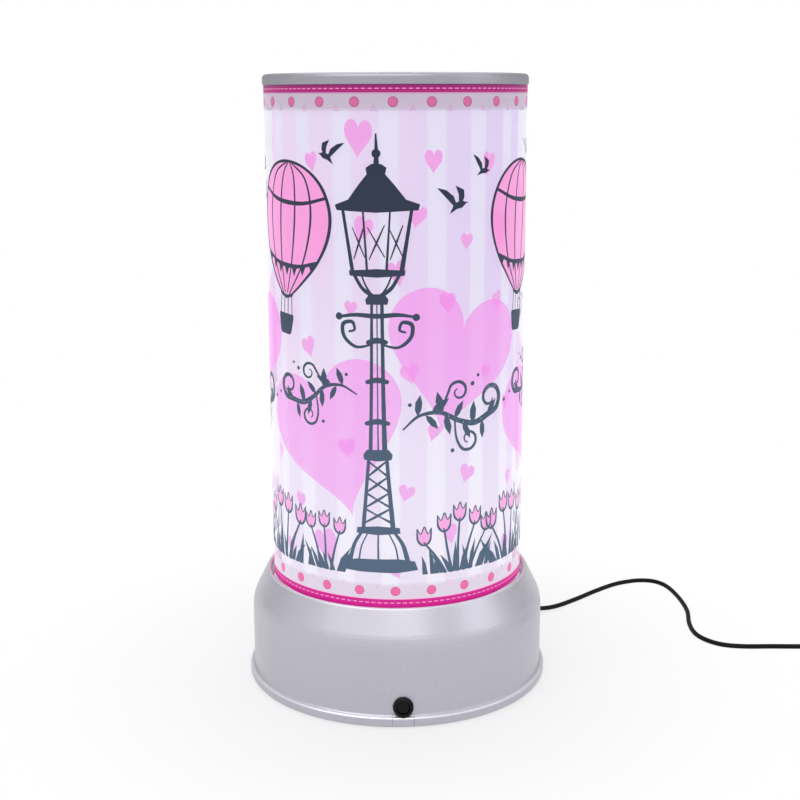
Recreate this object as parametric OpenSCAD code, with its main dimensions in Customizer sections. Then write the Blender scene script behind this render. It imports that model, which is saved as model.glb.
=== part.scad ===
// Rotating motion lamp. A silver base holds a clear tube with a printed film round it. Inside the
// tube a milky sleeve turns on a turntable round a lit column, driven by a small gear motor.
// Millimetres, Z up. The origin is on the table under the middle of the lamp, and the front, with
// the push button, faces -Y.

/* [Lamp] */
// Height of the lamp, from the table to the top of the cap
lamp_h = 280; // [250:1:310]
// Radius of the shade: the clear tube with the printed film round it
tube_r = 58.5; // [56.5:0.5:64]
// Wall of the clear tube
tube_wall = 1.2; // [1:0.1:1.6]
// Thickness of the printed film round the tube
film_t = 0.3; // [0.2:0.1:0.5]
// Running gap between the tube and the turning sleeve
sleeve_gap = 1.9; // [1.5:0.1:2.6]
// Wall of the turning sleeve
sleeve_t = 0.5; // [0.4:0.1:0.8]
// Distance from the sleeve's top edge to the top of the cap
sleeve_drop = 12; // [11:0.5:16]

/* [Cap] */
// Height of the cap above the tube's end
cap_h = 4.5; // [3.8:0.1:6]
// How far the cap stands out past the tube
cap_out = 0.5; // [0.2:0.1:1]
// Radius of the cap's top edge
cap_edge = 1.8; // [1:0.1:2.4]
// Thickness of the cap's top
cap_t = 2; // [1.6:0.1:2.6]
// Length of the skirt that plugs into the tube
cap_skirt_h = 4; // [2.5:0.1:5]
// Wall of that skirt
cap_skirt_t = 1.6; // [1.2:0.1:2]
// Radius of the pin that steadies the top of the sleeve
pin_r = 1.5; // [1:0.1:2]

/* [Base] */
// Height of the rim above the table
rim_z = 52.5; // [51:0.5:60]
// Radius of the rounded rim
rim_r = 1.2; // [0.9:0.1:1.5]
// Gap between the tube and the rim
rim_gap = 1.1; // [0.8:0.1:1.5]
// How far the base wall stands outside the tube
wall_out = 10.3; // [9.5:0.1:13]
// Thickness of the base shell
shell_t = 2.2; // [1.8:0.1:2.6]
// Height at which the shoulder starts to lean in
shoulder_z = 34.1; // [31:0.1:38]
// Radius of the shoulder's bend
shoulder_r = 17; // [10:0.5:20]
// How far the foot flange stands outside the wall
foot_out = 2; // [1.4:0.1:3]
// Height of the foot flange
foot_h = 4.8; // [4.4:0.1:6.2]
// Radius of the flange's lower edge
foot_edge = 1.7; // [1:0.1:2.2]
// How far the rubber feet lift the shell
foot_lift = 0.5; // [0.4:0.1:1.5]
// Radius of a rubber foot
pad_r = 5.5; // [4:0.5:7]
// Thickness of the bottom cover
cover_t = 2; // [1.8:0.1:3]

/* [Deck and bearing] */
// How deep the tube stands in the base
seat_depth = 10.5; // [9.5:0.1:11]
// Thickness of the deck that carries the tube
deck_t = 2.5; // [2.2:0.1:3]
// Height of the ring on the deck that holds the tube's foot
seat_ring_h = 3.5; // [2:0.1:4]
// Radius of the hollow column that the drum turns on
column_r = 6; // [5.5:0.1:7]
// Bore of that column
column_bore = 3.6; // [3:0.1:3.8]
// Running gap of the bearing and of the pin at the top
bearing_gap = 0.05; // [0.03:0.01:0.1]
// Wall of the bush in the hub
bush_t = 2; // [1.5:0.1:2.5]
// Height of the hub
hub_h = 7.9; // [7.5:0.1:9]
// Thickness of the thrust washer under the hub
washer_t = 1; // [0.8:0.1:1.4]

/* [Drive] */
// Module of the gear teeth
gear_m = 0.8; // [0.75:0.01:0.85]
// Teeth on the turntable
gear_teeth = 64; // [60:2:68]
// Teeth on the pinion
pinion_teeth = 16; // [14:2:18]
// Width of the turntable's teeth
gear_w = 3; // [2.6:0.1:3.4]
// Play between the teeth, as a length at the pitch circle
gear_play = 0.12; // [0.08:0.01:0.2]
// Where the gear motor stands, as an angle round the axis
motor_az = 150; // [140:1:165]
// Radius of the gearbox
gearbox_r = 12; // [11:0.5:13]
// Height of the gearbox
gearbox_h = 11; // [9:0.5:12]
// Radius of the motor
motor_r = 12.2; // [11:0.1:12.6]
// Height of the motor
motor_h = 14; // [12:0.5:16]
// Radius of the drive shaft
shaft_r = 1.5; // [1:0.1:2]

/* [Light] */
// Radius of the board with the lamps
led_board_r = 20; // [18:0.5:24]
// Thickness of the boards
board_t = 1.6; // [1:0.1:2]
// How many lamps stand on the board
led_count = 8; // [4:1:10]
// Side of one lamp
led_w = 5; // [3:0.1:5.4]
// Height of one lamp
led_h = 1.5; // [0.8:0.1:2]
// Wall of the lens over the lamps
lens_t = 1.5; // [1:0.1:2]
// Height of the lens's dome
lens_rise = 8; // [5:0.5:12]

/* [Push switch] */
// Angle of the push switch round the axis
switch_az = -87.7; // [-92:0.1:-84]
// Height of the push switch above the table
switch_z = 9.7; // [9.5:0.1:12]
// Radius of the ring round the button
ring_r = 4.5; // [4.2:0.1:5]
// Thickness of that ring
ring_t = 2; // [1.5:0.1:2.2]
// Radius of the threaded barrel
barrel_r = 3.6; // [3.4:0.1:3.7]
// Radius of the button
button_r = 2.9; // [2.4:0.1:3]
// Travel of the button
button_travel = 1.5; // [1:0.1:1.8]
// Width of the slot under the switch, which the cover's tab closes
slot_w = 9.7; // [9.2:0.1:11]

/* [Cord] */
// Diameter of the cord
cord_d = 2.4; // [2.2:0.1:2.6]
// Angle of the cord's grommet round the axis
grommet_az = 42; // [40:1:44]
// Height of the grommet above the table
grommet_z = 9.5; // [9:0.1:11]
// Length of the grommet's tapered boot
boot_l = 9; // [8:0.5:10]
// Room between neighbouring turns of the coil
coil_room = 0.45; // [0.42:0.01:0.6]
// Loops in each layer of the coil
coil_loops = 3.5; // [2.5:1:3.5]
// Layers of the coil
coil_layers = 4; // [2:2:4]

/* [Hidden] */
$fn = 96;

// Clearances and small common sizes
fit = 0.1;        // between pieces that are assembled and then stand still
loose = 0.3;      // round a cover or a washer
cut = 1;          // how far a cutting shape reaches past the surface that it cuts
lead_r = 0.6;     // insulated leads inside the base
lead_sides = 6;
lead_steps = 4;   // rings between two points of a lead's route

// Levels, from the table up
shell_z = foot_lift;
foot_top = shell_z + foot_h;
cover_z = shell_z + loose;
cover_top = cover_z + cover_t;
deck_top = rim_z - seat_depth;
deck_z = deck_top - deck_t;
tube_top = lamp_h - cap_h;
sleeve_top = lamp_h - sleeve_drop;

// Radii, from the shade in and out
clear_r = tube_r - film_t - fit;   // outer radius of the clear tube inside the film
clear_in = clear_r - tube_wall;
sleeve_r = clear_in - sleeve_gap;
sleeve_in = sleeve_r - sleeve_t;
bore_r = tube_r + rim_gap;
base_r = tube_r + wall_out;
wall_in = base_r - shell_t;
foot_r = base_r + foot_out;
post_ring = wall_in - 3.4;   // circle of the posts that take the cover's screws
deck_r = wall_in - 2.6;
seat_ring_t = 1;
boss_r = 2.2;
deck_ring = tube_r + fit + seat_ring_t + 0.2 + boss_r;   // circle of the bosses that hold the deck

// The shell's outline: centres of the shoulder's bend and of the rim's round, and the angle of the
// straight that touches both
bend = [base_r - shoulder_r, shoulder_z];
rim = [bore_r + rim_r, rim_z - rim_r];
lean = atan2(rim.y - bend.y, rim.x - bend.x) - acos((shoulder_r - rim_r) / norm(rim - bend));
lean_n = [cos(lean), sin(lean)];
cove_r = foot_out / 2;
skirt_t = 1.4;
skirt_z = deck_top + seat_ring_h + 0.5;

function arc(c, r, from, to, steps) =
    [for (i = [0:steps]) c + r * [cos(from + (to - from) * i / steps), sin(from + (to - from) * i / steps)]];

outline = concat(
    arc([foot_r - foot_edge, shell_z + foot_edge], foot_edge, -90, 0, 4),
    arc([foot_r - cove_r, foot_top - cove_r], cove_r, 0, 90, 3),
    arc([base_r + cove_r, foot_top + cove_r], cove_r, 270, 180, 3),
    arc(bend, shoulder_r, 0, lean, 5),
    arc(rim, rim_r, lean, 180, 8)
);
inner_bend_end = bend + (shoulder_r - shell_t) * lean_n;
inner_top_z = inner_bend_end.y + (inner_bend_end.x - bore_r - skirt_t) * cos(lean) / sin(lean);

module shell_section() {
    polygon(concat(
        outline,
        [[bore_r, skirt_z], [bore_r + skirt_t, skirt_z], [bore_r + skirt_t, inner_top_z]],
        arc(bend, shoulder_r - shell_t, lean, 0, 4),
        [[wall_in, shell_z]]
    ));
}

// The room inside the middle of the shell's wall, which trims what grows from the shell
module shell_core() {
    rotate_extrude() polygon(concat(
        [[0, shell_z], [base_r - shell_t / 2, shell_z]],
        arc(bend, shoulder_r - shell_t / 2, 0, lean, 4),
        [rim, [0, rim.y]]
    ));
}

// Screws and bosses
screw_angles = [15, 105, 195, 285];
pad_angles = [60, 150, 240, 330];
pad_ring = wall_in - 14.6;
post_r = 3;
post_h = 16;
cover_screw_r = 1.3;
deck_screw_r = 1.1;

module ring_of(angles, radius, z) {
    for (a = angles) rotate([0, 0, a]) translate([radius, 0, z]) children();
}

// A pan-head screw that points up, with its head below z = 0
head_wide = 2;       // head radius as a multiple of the screw's
head_high = 1.2;     // head height as a multiple of the screw's radius
module screw_up(r, length, high = head_high) {
    cylinder(r = r, h = length);
    translate([0, 0, -high * r]) cylinder(r = head_wide * r, h = high * r);
}

// Frame of a piece that points outwards through the wall: its own Z runs along the radius
module outwards(az, z) {
    rotate([0, 0, az]) translate([0, 0, z]) rotate([0, 90, 0]) children();
}

// Push switch, along its own radius
spot_r = ring_r + 0.2;
spot_x = sqrt(base_r * base_r - spot_r * spot_r) - 0.1;
ring_x = spot_x + ring_t;
button_x = ring_x - 0.5;
button_l = 9;
flange_t = 1;
flange_r = button_r + 0.2;
slide_gap = 0.08;
nut_t = 2.2;
nut_x = sqrt(wall_in * wall_in - 5.4 * 5.4) - fit;
nut_flats = 9;
barrel_x = button_x - button_l - button_travel - 1.5;
body_w = 9.2;
body_l = 12;
spring_seat = button_travel + 2.5;
tab_top = switch_z - barrel_r - fit;
slot_top = tab_top + 0.2;

// Grommet and the cord's exit, along the grommet's radius
grommet_r = 3;
collar_r = 4.4;
collar_t = 1.5;
grommet_spot = sqrt(base_r * base_r - pow(collar_r + 0.2, 2)) - 0.1;
exit_x = grommet_spot + collar_t + boot_l;
grommet_in = wall_in - 2;
boot_tip_r = 2;
exit_point = [exit_x * cos(grommet_az), exit_x * sin(grommet_az), grommet_z];
exit_dir = [cos(grommet_az), sin(grommet_az), 0];

module base_housing() {
    color("silver") difference() {
        union() {
            rotate_extrude() shell_section();
            intersection() {
                shell_core();
                union() {
                    ring_of(pad_angles, deck_ring, deck_top) cylinder(r = boss_r, h = rim_z);
                    ring_of(screw_angles, post_ring, cover_top) cylinder(r = post_r, h = post_h);
                    ring_of(screw_angles, post_ring, cover_top)
                        translate([0, -post_r / 2, 0]) cube([wall_in - post_ring + 1, post_r, post_h]);
                }
            }
        }
        ring_of(pad_angles, deck_ring, deck_top - cut) cylinder(r = deck_screw_r, h = 4.5 + cut);
        ring_of(screw_angles, post_ring, cover_top - cut) cylinder(r = cover_screw_r, h = 10 + cut);
        outwards(switch_az, switch_z) {
            translate([0, 0, wall_in - cut * 4]) cylinder(r = barrel_r + fit, h = foot_r - wall_in + 10);
            translate([0, 0, spot_x]) cylinder(r = spot_r, h = foot_r);
        }
        rotate([0, 0, switch_az]) {
            translate([wall_in - cut, -slot_w / 2, shell_z - cut])
                cube([foot_r, slot_w, slot_top - shell_z + cut]);
        }
        outwards(grommet_az, grommet_z) {
            translate([0, 0, wall_in - cut]) cylinder(r = grommet_r + fit, h = foot_r);
            translate([0, 0, grommet_spot]) cylinder(r = collar_r + 0.2, h = foot_r);
        }
    }
}

// Bottom cover: posts for the board and the clamp, vents, and the tab under the switch
board_size = [44, 30];
board_at = [0.3 * wall_in, -0.27 * wall_in];
board_inset = 3;
board_z = cover_top + 6.2;
board_hole = [board_size.x / 2 - board_inset, board_size.y / 2 - board_inset];
board_holes = [for (x = [-1, 1], y = [-1, 1]) board_at + [x * board_hole.x, y * board_hole.y]];
standoff_r = 2.6;
board_screw_r = 0.9;
pad_sink = 0.7;
vent_count = 10;
vent_l = 10;
vent_w = 2;
vent_ring = wall_in / 2;
vent_angles = [for (i = [0:vent_count - 1]) 70 + i * 15];
clamp_x = wall_in - 12.6;
clamp_half = 5;
clamp_t = 2.4;
clamp_pad_z = cover_top + 1;
clamp_screw_r = 0.9;
lead_z = clamp_pad_z + cord_d / 2 + fit;
clamp_z = lead_z + cord_d / 2 + fit;

module tab_block() {
    intersection() {
        rotate_extrude() polygon(concat([[0, shell_z]], outline, [[0, rim.y]]));
        rotate([0, 0, switch_az]) translate([wall_in + fit, fit - slot_w / 2, 0])
            cube([foot_r, slot_w - 2 * fit, tab_top]);
    }
}

module bottom_cover() {
    color("gainsboro") difference() {
        union() {
            translate([0, 0, cover_z]) cylinder(r = wall_in - loose, h = cover_t);
            tab_block();
            rotate([0, 0, switch_az]) translate([wall_in - 6, fit - slot_w / 2, cover_z])
                cube([foot_out + 5, slot_w - 2 * fit, cover_t]);
            for (p = board_holes) translate([p.x, p.y, cover_top - cut])
                cylinder(r = standoff_r, h = board_z - cover_top + cut);
            rotate([0, 0, grommet_az]) {
                translate([clamp_x - 3, -clamp_half - 3, cover_top - cut])
                    cube([6, 2 * clamp_half + 6, clamp_pad_z - cover_top + cut]);
                for (side = [-1, 1]) translate([clamp_x, side * clamp_half, cover_top - cut])
                    cylinder(r = 2.2, h = clamp_z - cover_top + cut);
            }
        }
        ring_of(screw_angles, post_ring, cover_z - cut) {
            cylinder(r = cover_screw_r + loose, h = cover_t + 2 * cut);
            cylinder(r = head_wide * cover_screw_r + fit, h = cut + 1);
        }
        ring_of(pad_angles, pad_ring, cover_z - cut) cylinder(r = pad_r + fit, h = cut + pad_sink);
        for (p = board_holes) translate([p.x, p.y, board_z - 5]) cylinder(r = board_screw_r, h = 5 + cut);
        rotate([0, 0, grommet_az]) for (side = [-1, 1])
            translate([clamp_x, side * clamp_half, cover_top + 0.5])
                cylinder(r = clamp_screw_r, h = clamp_z);
        ring_of(vent_angles, vent_ring, cover_z - cut)
            translate([-vent_l / 2, -vent_w / 2, 0]) cube([vent_l, vent_w, cover_t + 2 * cut]);
        outwards(switch_az, switch_z) translate([0, 0, spot_x]) cylinder(r = spot_r, h = foot_r);
    }
}

module cover_screws() {
    color("dimgray") ring_of(screw_angles, post_ring, cover_z + 1)
        screw_up(cover_screw_r, cover_t + 6, 0.7);
}

module rubber_feet() {
    color("black") ring_of(pad_angles, pad_ring, 0) cylinder(r = pad_r, h = cover_z + pad_sink);
}

// Deck: carries the tube, the column and the gear motor
motor_ring = gear_m * (gear_teeth + pinion_teeth) / 2;
motor_at = motor_ring * [cos(motor_az), sin(motor_az)];
ear_ring = gearbox_r + 4;
column_flange_r = 11.5;
column_flange_t = 3;
column_screw_ring = 8.8;
column_screw_angles = [0, 120, 240];
column_screw_r = 1;
motor_screw_r = 1.2;
shaft_hole_r = shaft_r + 2.5;

module at_motor(z) {
    translate([motor_at.x, motor_at.y, z]) rotate([0, 0, motor_az + 90]) children();
}

module chassis_deck() {
    color("whitesmoke") difference() {
        union() {
            translate([0, 0, deck_z]) cylinder(r = deck_r, h = deck_t);
            difference() {
                translate([0, 0, deck_z]) cylinder(r = tube_r + fit + seat_ring_t, h = deck_t + seat_ring_h);
                translate([0, 0, deck_top]) cylinder(r = tube_r + fit, h = seat_ring_h + cut);
            }
        }
        translate([0, 0, deck_z - cut]) cylinder(r = column_r + fit / 2, h = deck_t + 2 * cut);
        ring_of(column_screw_angles, column_screw_ring, deck_z - cut)
            cylinder(r = column_screw_r, h = cut + 2);
        ring_of(pad_angles, deck_ring, deck_z - cut)
            cylinder(r = deck_screw_r + 2 * fit, h = deck_t + 2 * cut);
        ring_of(screw_angles, post_ring, deck_z - cut) cylinder(r = post_r + 0.4, h = deck_t + 2 * cut);
        at_motor(deck_z - cut) {
            cylinder(r = shaft_hole_r, h = deck_t + 2 * cut);
            for (side = [-1, 1]) translate([side * ear_ring, 0, 0]) cylinder(r = motor_screw_r, h = cut + 2);
        }
    }
}

module deck_screws() {
    color("dimgray") ring_of(pad_angles, deck_ring, deck_z) screw_up(deck_screw_r, deck_t + 4);
}

// Bearing: levels above the deck
hub_z = deck_top + washer_t + fit;
hub_top = hub_z + hub_h;
clip_z = hub_top + 0.35;
clip_t = 0.7;
groove_r = column_r - 0.6;
step_z = clip_z + clip_t + 0.75;
spigot_r = column_r - 1;
carrier_z = step_z + 1.2;
carrier_t = 2;
carrier_top = carrier_z + carrier_t;
bush_r = column_r + bearing_gap + bush_t;
hub_r = bush_r + 3;

module centre_column() {
    color("lightgray") difference() {
        union() {
            translate([0, 0, deck_z - column_flange_t]) cylinder(r = column_flange_r, h = column_flange_t);
            translate([0, 0, deck_z - cut]) cylinder(r = column_r, h = step_z - deck_z + cut);
            translate([0, 0, step_z - cut]) cylinder(r = spigot_r, h = carrier_top - step_z + cut);
        }
        translate([0, 0, deck_z - column_flange_t - cut]) cylinder(r = column_bore, h = rim_z);
        ring_of(column_screw_angles, column_screw_ring, deck_z - column_flange_t - cut)
            cylinder(r = column_screw_r + fit, h = column_flange_t + 2 * cut);
        translate([0, 0, clip_z - fit / 2]) difference() {
            cylinder(r = column_r + cut, h = clip_t + fit);
            translate([0, 0, -cut]) cylinder(r = groove_r, h = clip_t + fit + 2 * cut);
        }
    }
}

module column_screws() {
    color("dimgray") ring_of(column_screw_angles, column_screw_ring, deck_z - column_flange_t)
        screw_up(column_screw_r, column_flange_t + 1.8);
}

module thrust_washer() {
    color("white") translate([0, 0, deck_top]) difference() {
        cylinder(r = hub_r, h = washer_t);
        translate([0, 0, -cut]) cylinder(r = column_r + fit, h = washer_t + 2 * cut);
    }
}

module hub_bush() {
    color("ivory") translate([0, 0, hub_z]) difference() {
        cylinder(r = bush_r, h = hub_h);
        translate([0, 0, -cut]) cylinder(r = column_r + bearing_gap, h = hub_h + 2 * cut);
    }
}

module retaining_clip() {
    color("dimgray") translate([0, 0, clip_z]) difference() {
        cylinder(r = column_r + 2.4, h = clip_t);
        translate([0, 0, -cut]) cylinder(r = groove_r + fit / 2, h = clip_t + 2 * cut);
        translate([0, -groove_r + 1.4, -cut]) cube([column_r + 4, 2 * groove_r - 2.8, clip_t + 2 * cut]);
    }
}

// Involute teeth of a spur gear with shortened tips. A tooth stands on the +X axis.
pressure = 20;
tip_share = 0.8;
root_share = 1.1;
flank_steps = 4;
function involute(a) = tan(a) * 180 / PI - a;
function pitch_r(teeth) = gear_m * teeth / 2;
function flank_r(teeth, i) =
    let (low = max(pitch_r(teeth) * cos(pressure), pitch_r(teeth) - root_share * gear_m),
         high = pitch_r(teeth) + tip_share * gear_m)
    low + (high - low) * i / flank_steps;
function flank_a(teeth, r) =
    90 / teeth - gear_play / 2 / pitch_r(teeth) * 90 / PI + involute(pressure)
    - involute(acos(min(1, pitch_r(teeth) * cos(pressure) / r)));
function polar(r, a) = [r * cos(a), r * sin(a)];

module spur_outline(teeth) {
    root = pitch_r(teeth) - root_share * gear_m;
    pitch_a = 360 / teeth;
    polygon([for (k = [0:teeth - 1]) each concat(
        [polar(root, k * pitch_a - flank_a(teeth, flank_r(teeth, 0)))],
        [for (i = [0:flank_steps]) let (r = flank_r(teeth, i)) polar(r, k * pitch_a - flank_a(teeth, r))],
        [for (i = [flank_steps:-1:0]) let (r = flank_r(teeth, i)) polar(r, k * pitch_a + flank_a(teeth, r))],
        [polar(root, k * pitch_a + flank_a(teeth, flank_r(teeth, 0)))]
    )]);
}

// Turntable: hub, geared ring, web and the rim that the sleeve sits on
gear_z = hub_z + 0.5;
web_z = gear_z + gear_w;
web_t = 1.6;
rim_wall = 1.5;
rim_h = 5.5;
window_count = 6;
window_r = 7;
window_ring = 39;
gear_ring_in = pitch_r(gear_teeth) - 4;

module turntable() {
    color("white") difference() {
        union() {
            translate([0, 0, hub_z]) cylinder(r = hub_r, h = hub_h);
            translate([0, 0, gear_z]) rotate([0, 0, motor_az]) linear_extrude(gear_w + web_t / 2)
                difference() {
                    spur_outline(gear_teeth);
                    circle(r = gear_ring_in);
                }
            translate([0, 0, web_z]) cylinder(r = sleeve_in - fit, h = web_t);
            translate([0, 0, web_z]) difference() {
                cylinder(r = sleeve_in - fit, h = rim_h);
                translate([0, 0, -cut]) cylinder(r = sleeve_in - fit - rim_wall, h = rim_h + 2 * cut);
            }
            translate([0, 0, web_z]) difference() {
                cylinder(r = sleeve_r + 0.2, h = 1);
                translate([0, 0, -cut]) cylinder(r = sleeve_in - fit - rim_wall, h = 3);
            }
        }
        translate([0, 0, hub_z - cut]) cylinder(r = bush_r, h = hub_h + 2 * cut);
        for (i = [0:window_count - 1]) rotate([0, 0, i * 360 / window_count])
            translate([window_ring, 0, web_z - cut]) cylinder(r = window_r, h = web_t + 2 * cut);
    }
}

module motion_sleeve() {
    color("lavenderblush") translate([0, 0, web_z + 1]) difference() {
        cylinder(r = sleeve_r, h = sleeve_top - web_z - 1);
        translate([0, 0, -cut]) cylinder(r = sleeve_in, h = lamp_h);
    }
}

top_hub_r = 5;
top_hub_h = 3;
spoke_w = 5;
spoke_t = 2;

module sleeve_ring() {
    color("white") difference() {
        union() {
            translate([0, 0, sleeve_top - rim_h]) difference() {
                cylinder(r = sleeve_in - fit, h = rim_h + 1);
                translate([0, 0, -cut]) cylinder(r = sleeve_in - fit - rim_wall, h = rim_h + 3);
            }
            translate([0, 0, sleeve_top]) difference() {
                cylinder(r = sleeve_r + 0.2, h = 1);
                translate([0, 0, -cut]) cylinder(r = sleeve_in - fit - rim_wall, h = 3);
            }
            translate([0, 0, sleeve_top - top_hub_h]) cylinder(r = top_hub_r, h = 2 * top_hub_h);
            for (a = [30, 150, 270]) rotate([0, 0, a])
                translate([top_hub_r - 1, -spoke_w / 2, sleeve_top - spoke_t + 1])
                    cube([sleeve_in - top_hub_r - 0.3, spoke_w, spoke_t]);
        }
        translate([0, 0, sleeve_top - top_hub_h - cut])
            cylinder(r = pin_r + bearing_gap, h = 2 * top_hub_h + 2 * cut);
    }
}

cap_r = tube_r + cap_out;
skirt_r = clear_in - 0.15;
cap_boss_r = 4;
cap_boss_z = sleeve_top + top_hub_h + 0.5;

module pivot_pin() {
    color("lightsteelblue") translate([0, 0, sleeve_top - top_hub_h - 2])
        cylinder(r = pin_r, h = tube_top + 1 - sleeve_top + top_hub_h + 2);
}

module top_cap() {
    color("darkgray") difference() {
        union() {
            rotate_extrude() polygon(concat(
                [[0, lamp_h - cap_t], [skirt_r - cap_skirt_t, lamp_h - cap_t],
                 [skirt_r - cap_skirt_t, tube_top - cap_skirt_h], [skirt_r, tube_top - cap_skirt_h],
                 [skirt_r, tube_top], [cap_r, tube_top]],
                arc([cap_r - cap_edge, lamp_h - cap_edge], cap_edge, 0, 90, 6),
                [[0, lamp_h]]
            ));
            translate([0, 0, cap_boss_z]) cylinder(r = cap_boss_r, h = lamp_h - cap_boss_z - cap_t / 2);
        }
        translate([0, 0, cap_boss_z - cut]) cylinder(r = pin_r, h = tube_top + 1 - cap_boss_z + cut);
    }
}

module outer_tube() {
    color("azure", 0.35) translate([0, 0, deck_top]) difference() {
        cylinder(r = clear_r, h = tube_top - deck_top);
        translate([0, 0, -cut]) cylinder(r = clear_in, h = lamp_h);
    }
}

module print_film() {
    color("lavender", 0.6) translate([0, 0, deck_top]) difference() {
        cylinder(r = tube_r, h = tube_top - deck_top);
        translate([0, 0, -cut]) cylinder(r = tube_r - film_t, h = lamp_h);
    }
}

// Gear motor, hung under the deck
ear_w = 7;
ear_t = 1.2;
motor_boss_r = 3;
motor_boss_h = 1.5;
motor_z = deck_z - gearbox_h - motor_h;
shaft_z = deck_z - gearbox_h + 3;
pinion_z = deck_top + 1;
pinion_top = web_z - 0.4;

module gearbox() {
    color("khaki") difference() {
        union() {
            at_motor(deck_z - gearbox_h) cylinder(r = gearbox_r, h = gearbox_h);
            at_motor(deck_z - ear_t) translate([-ear_ring - ear_w / 2, -ear_w / 2, 0])
                cube([2 * ear_ring + ear_w, ear_w, ear_t]);
        }
        at_motor(shaft_z - fit) cylinder(r = shaft_r + bearing_gap, h = gearbox_h);
        at_motor(deck_z - ear_t - cut) for (side = [-1, 1]) translate([side * ear_ring, 0, 0])
            cylinder(r = motor_screw_r + fit, h = ear_t + 2 * cut);
    }
}

module motor_can() {
    color("silver") at_motor(motor_z) {
        cylinder(r = motor_r, h = motor_h);
        translate([0, 0, -motor_boss_h]) cylinder(r = motor_boss_r, h = motor_boss_h + cut);
    }
}

module motor_screws() {
    color("dimgray") at_motor(deck_z - ear_t) for (side = [-1, 1]) translate([side * ear_ring, 0, 0])
        screw_up(motor_screw_r, ear_t + 1.8);
}

module drive_shaft() {
    color("lightsteelblue") at_motor(shaft_z) cylinder(r = shaft_r, h = pinion_top - shaft_z);
}

module drive_pinion() {
    color("ivory") translate([motor_at.x, motor_at.y, pinion_z])
        rotate([0, 0, motor_az + 180 + 180 / pinion_teeth]) linear_extrude(pinion_top - pinion_z)
            difference() {
                spur_outline(pinion_teeth);
                circle(r = shaft_r);
            }
}

// Light unit on the column
carrier_r = led_board_r + 2.5;
socket_r = column_r + 2.5;
led_ring = led_board_r - led_w / 2 - 2;
led_screw_ring = 9;
led_screw_r = 0.9;
lens_r = carrier_r - 0.6;
lens_in = lens_r - lens_t;
lens_wall_h = 4;
dome_r = (lens_r * lens_r + lens_rise * lens_rise) / (2 * lens_rise);
dome_z = carrier_top + lens_wall_h + lens_rise - dome_r;
dome_a = acos(lens_r / dome_r);
dome_in_a = acos(lens_in / (dome_r - lens_t));

module led_carrier() {
    color("white") difference() {
        union() {
            translate([0, 0, step_z]) cylinder(r = socket_r, h = carrier_top - step_z);
            translate([0, 0, carrier_z]) cylinder(r = carrier_r, h = carrier_t);
        }
        translate([0, 0, step_z - cut]) cylinder(r = spigot_r + fit / 2, h = carrier_top);
        for (side = [-1, 1]) translate([side * led_screw_ring, 0, carrier_z - cut])
            cylinder(r = led_screw_r, h = carrier_t + 2 * cut);
    }
}

module led_board() {
    color("white") translate([0, 0, carrier_top]) difference() {
        cylinder(r = led_board_r, h = board_t);
        for (side = [-1, 1]) translate([side * led_screw_ring, 0, -cut])
            cylinder(r = led_screw_r + fit, h = board_t + 2 * cut);
    }
}

module led_chips() {
    color("gold") for (i = [0:led_count - 1]) rotate([0, 0, (i + 0.5) * 360 / led_count])
        translate([led_ring - led_w / 2, -led_w / 2, carrier_top + board_t]) cube([led_w, led_w, led_h]);
}

module led_screws() {
    color("dimgray") for (side = [-1, 1]) translate([side * led_screw_ring, 0, carrier_top + board_t])
        mirror([0, 0, 1]) screw_up(led_screw_r, board_t + carrier_t);
}

module led_lens() {
    color("azure", 0.5) rotate_extrude() polygon(concat(
        [[lens_in, carrier_top], [lens_r, carrier_top]],
        arc([0, dome_z], dome_r, dome_a, 90, 6),
        arc([0, dome_z], dome_r - lens_t, 90, dome_in_a, 6)
    ));
}

// Control board and what stands on it
socket_size = [8, 5, 6];
socket_x = board_size.x / 2 - board_inset - head_wide * board_screw_r - socket_size.x / 2 - 2 * loose;
socket_y = board_size.y / 2 - socket_size.y;
socket_at = [
    [socket_x - 2.6 * socket_size.x, socket_y], [socket_x - 1.1 * socket_size.x, socket_y],
    [socket_x, socket_y], [-socket_x, 1 - socket_y]
];
socket_z = board_z + board_t + socket_size.z;
lead_drop = [0, 0, 3];       // each lead ends with a straight drop of this length
function socket_point(i) = [board_at.x + socket_at[i].x, board_at.y + socket_at[i].y, socket_z + 0.25];

module control_board() {
    color("darkgreen") difference() {
        translate([board_at.x - board_size.x / 2, board_at.y - board_size.y / 2, board_z])
            cube([board_size.x, board_size.y, board_t]);
        for (p = board_holes) translate([p.x, p.y, board_z - cut])
            cylinder(r = board_screw_r + fit, h = board_t + 2 * cut);
    }
}

module board_parts() {
    translate([board_at.x, board_at.y, board_z + board_t]) {
        color("white") for (p = socket_at) translate([p.x - socket_size.x / 2, p.y - socket_size.y / 2, 0])
            cube(socket_size);
        color("black") translate([-5, -5, 0]) cube([6, 5, board_t]);
        color("dimgray") translate([8, -3, 0]) cylinder(r = 4, h = 5);
        color("navy") translate([board_size.x / 2 - 6, -4, 0]) cylinder(r = 2.6, h = 8);
        color("navy") translate([2, 3, 0]) cylinder(r = 2, h = 6);
    }
}

module board_screws() {
    color("dimgray") for (p = board_holes) translate([p.x, p.y, board_z + board_t])
        mirror([0, 0, 1]) screw_up(board_screw_r, board_t + 4);
}

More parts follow.
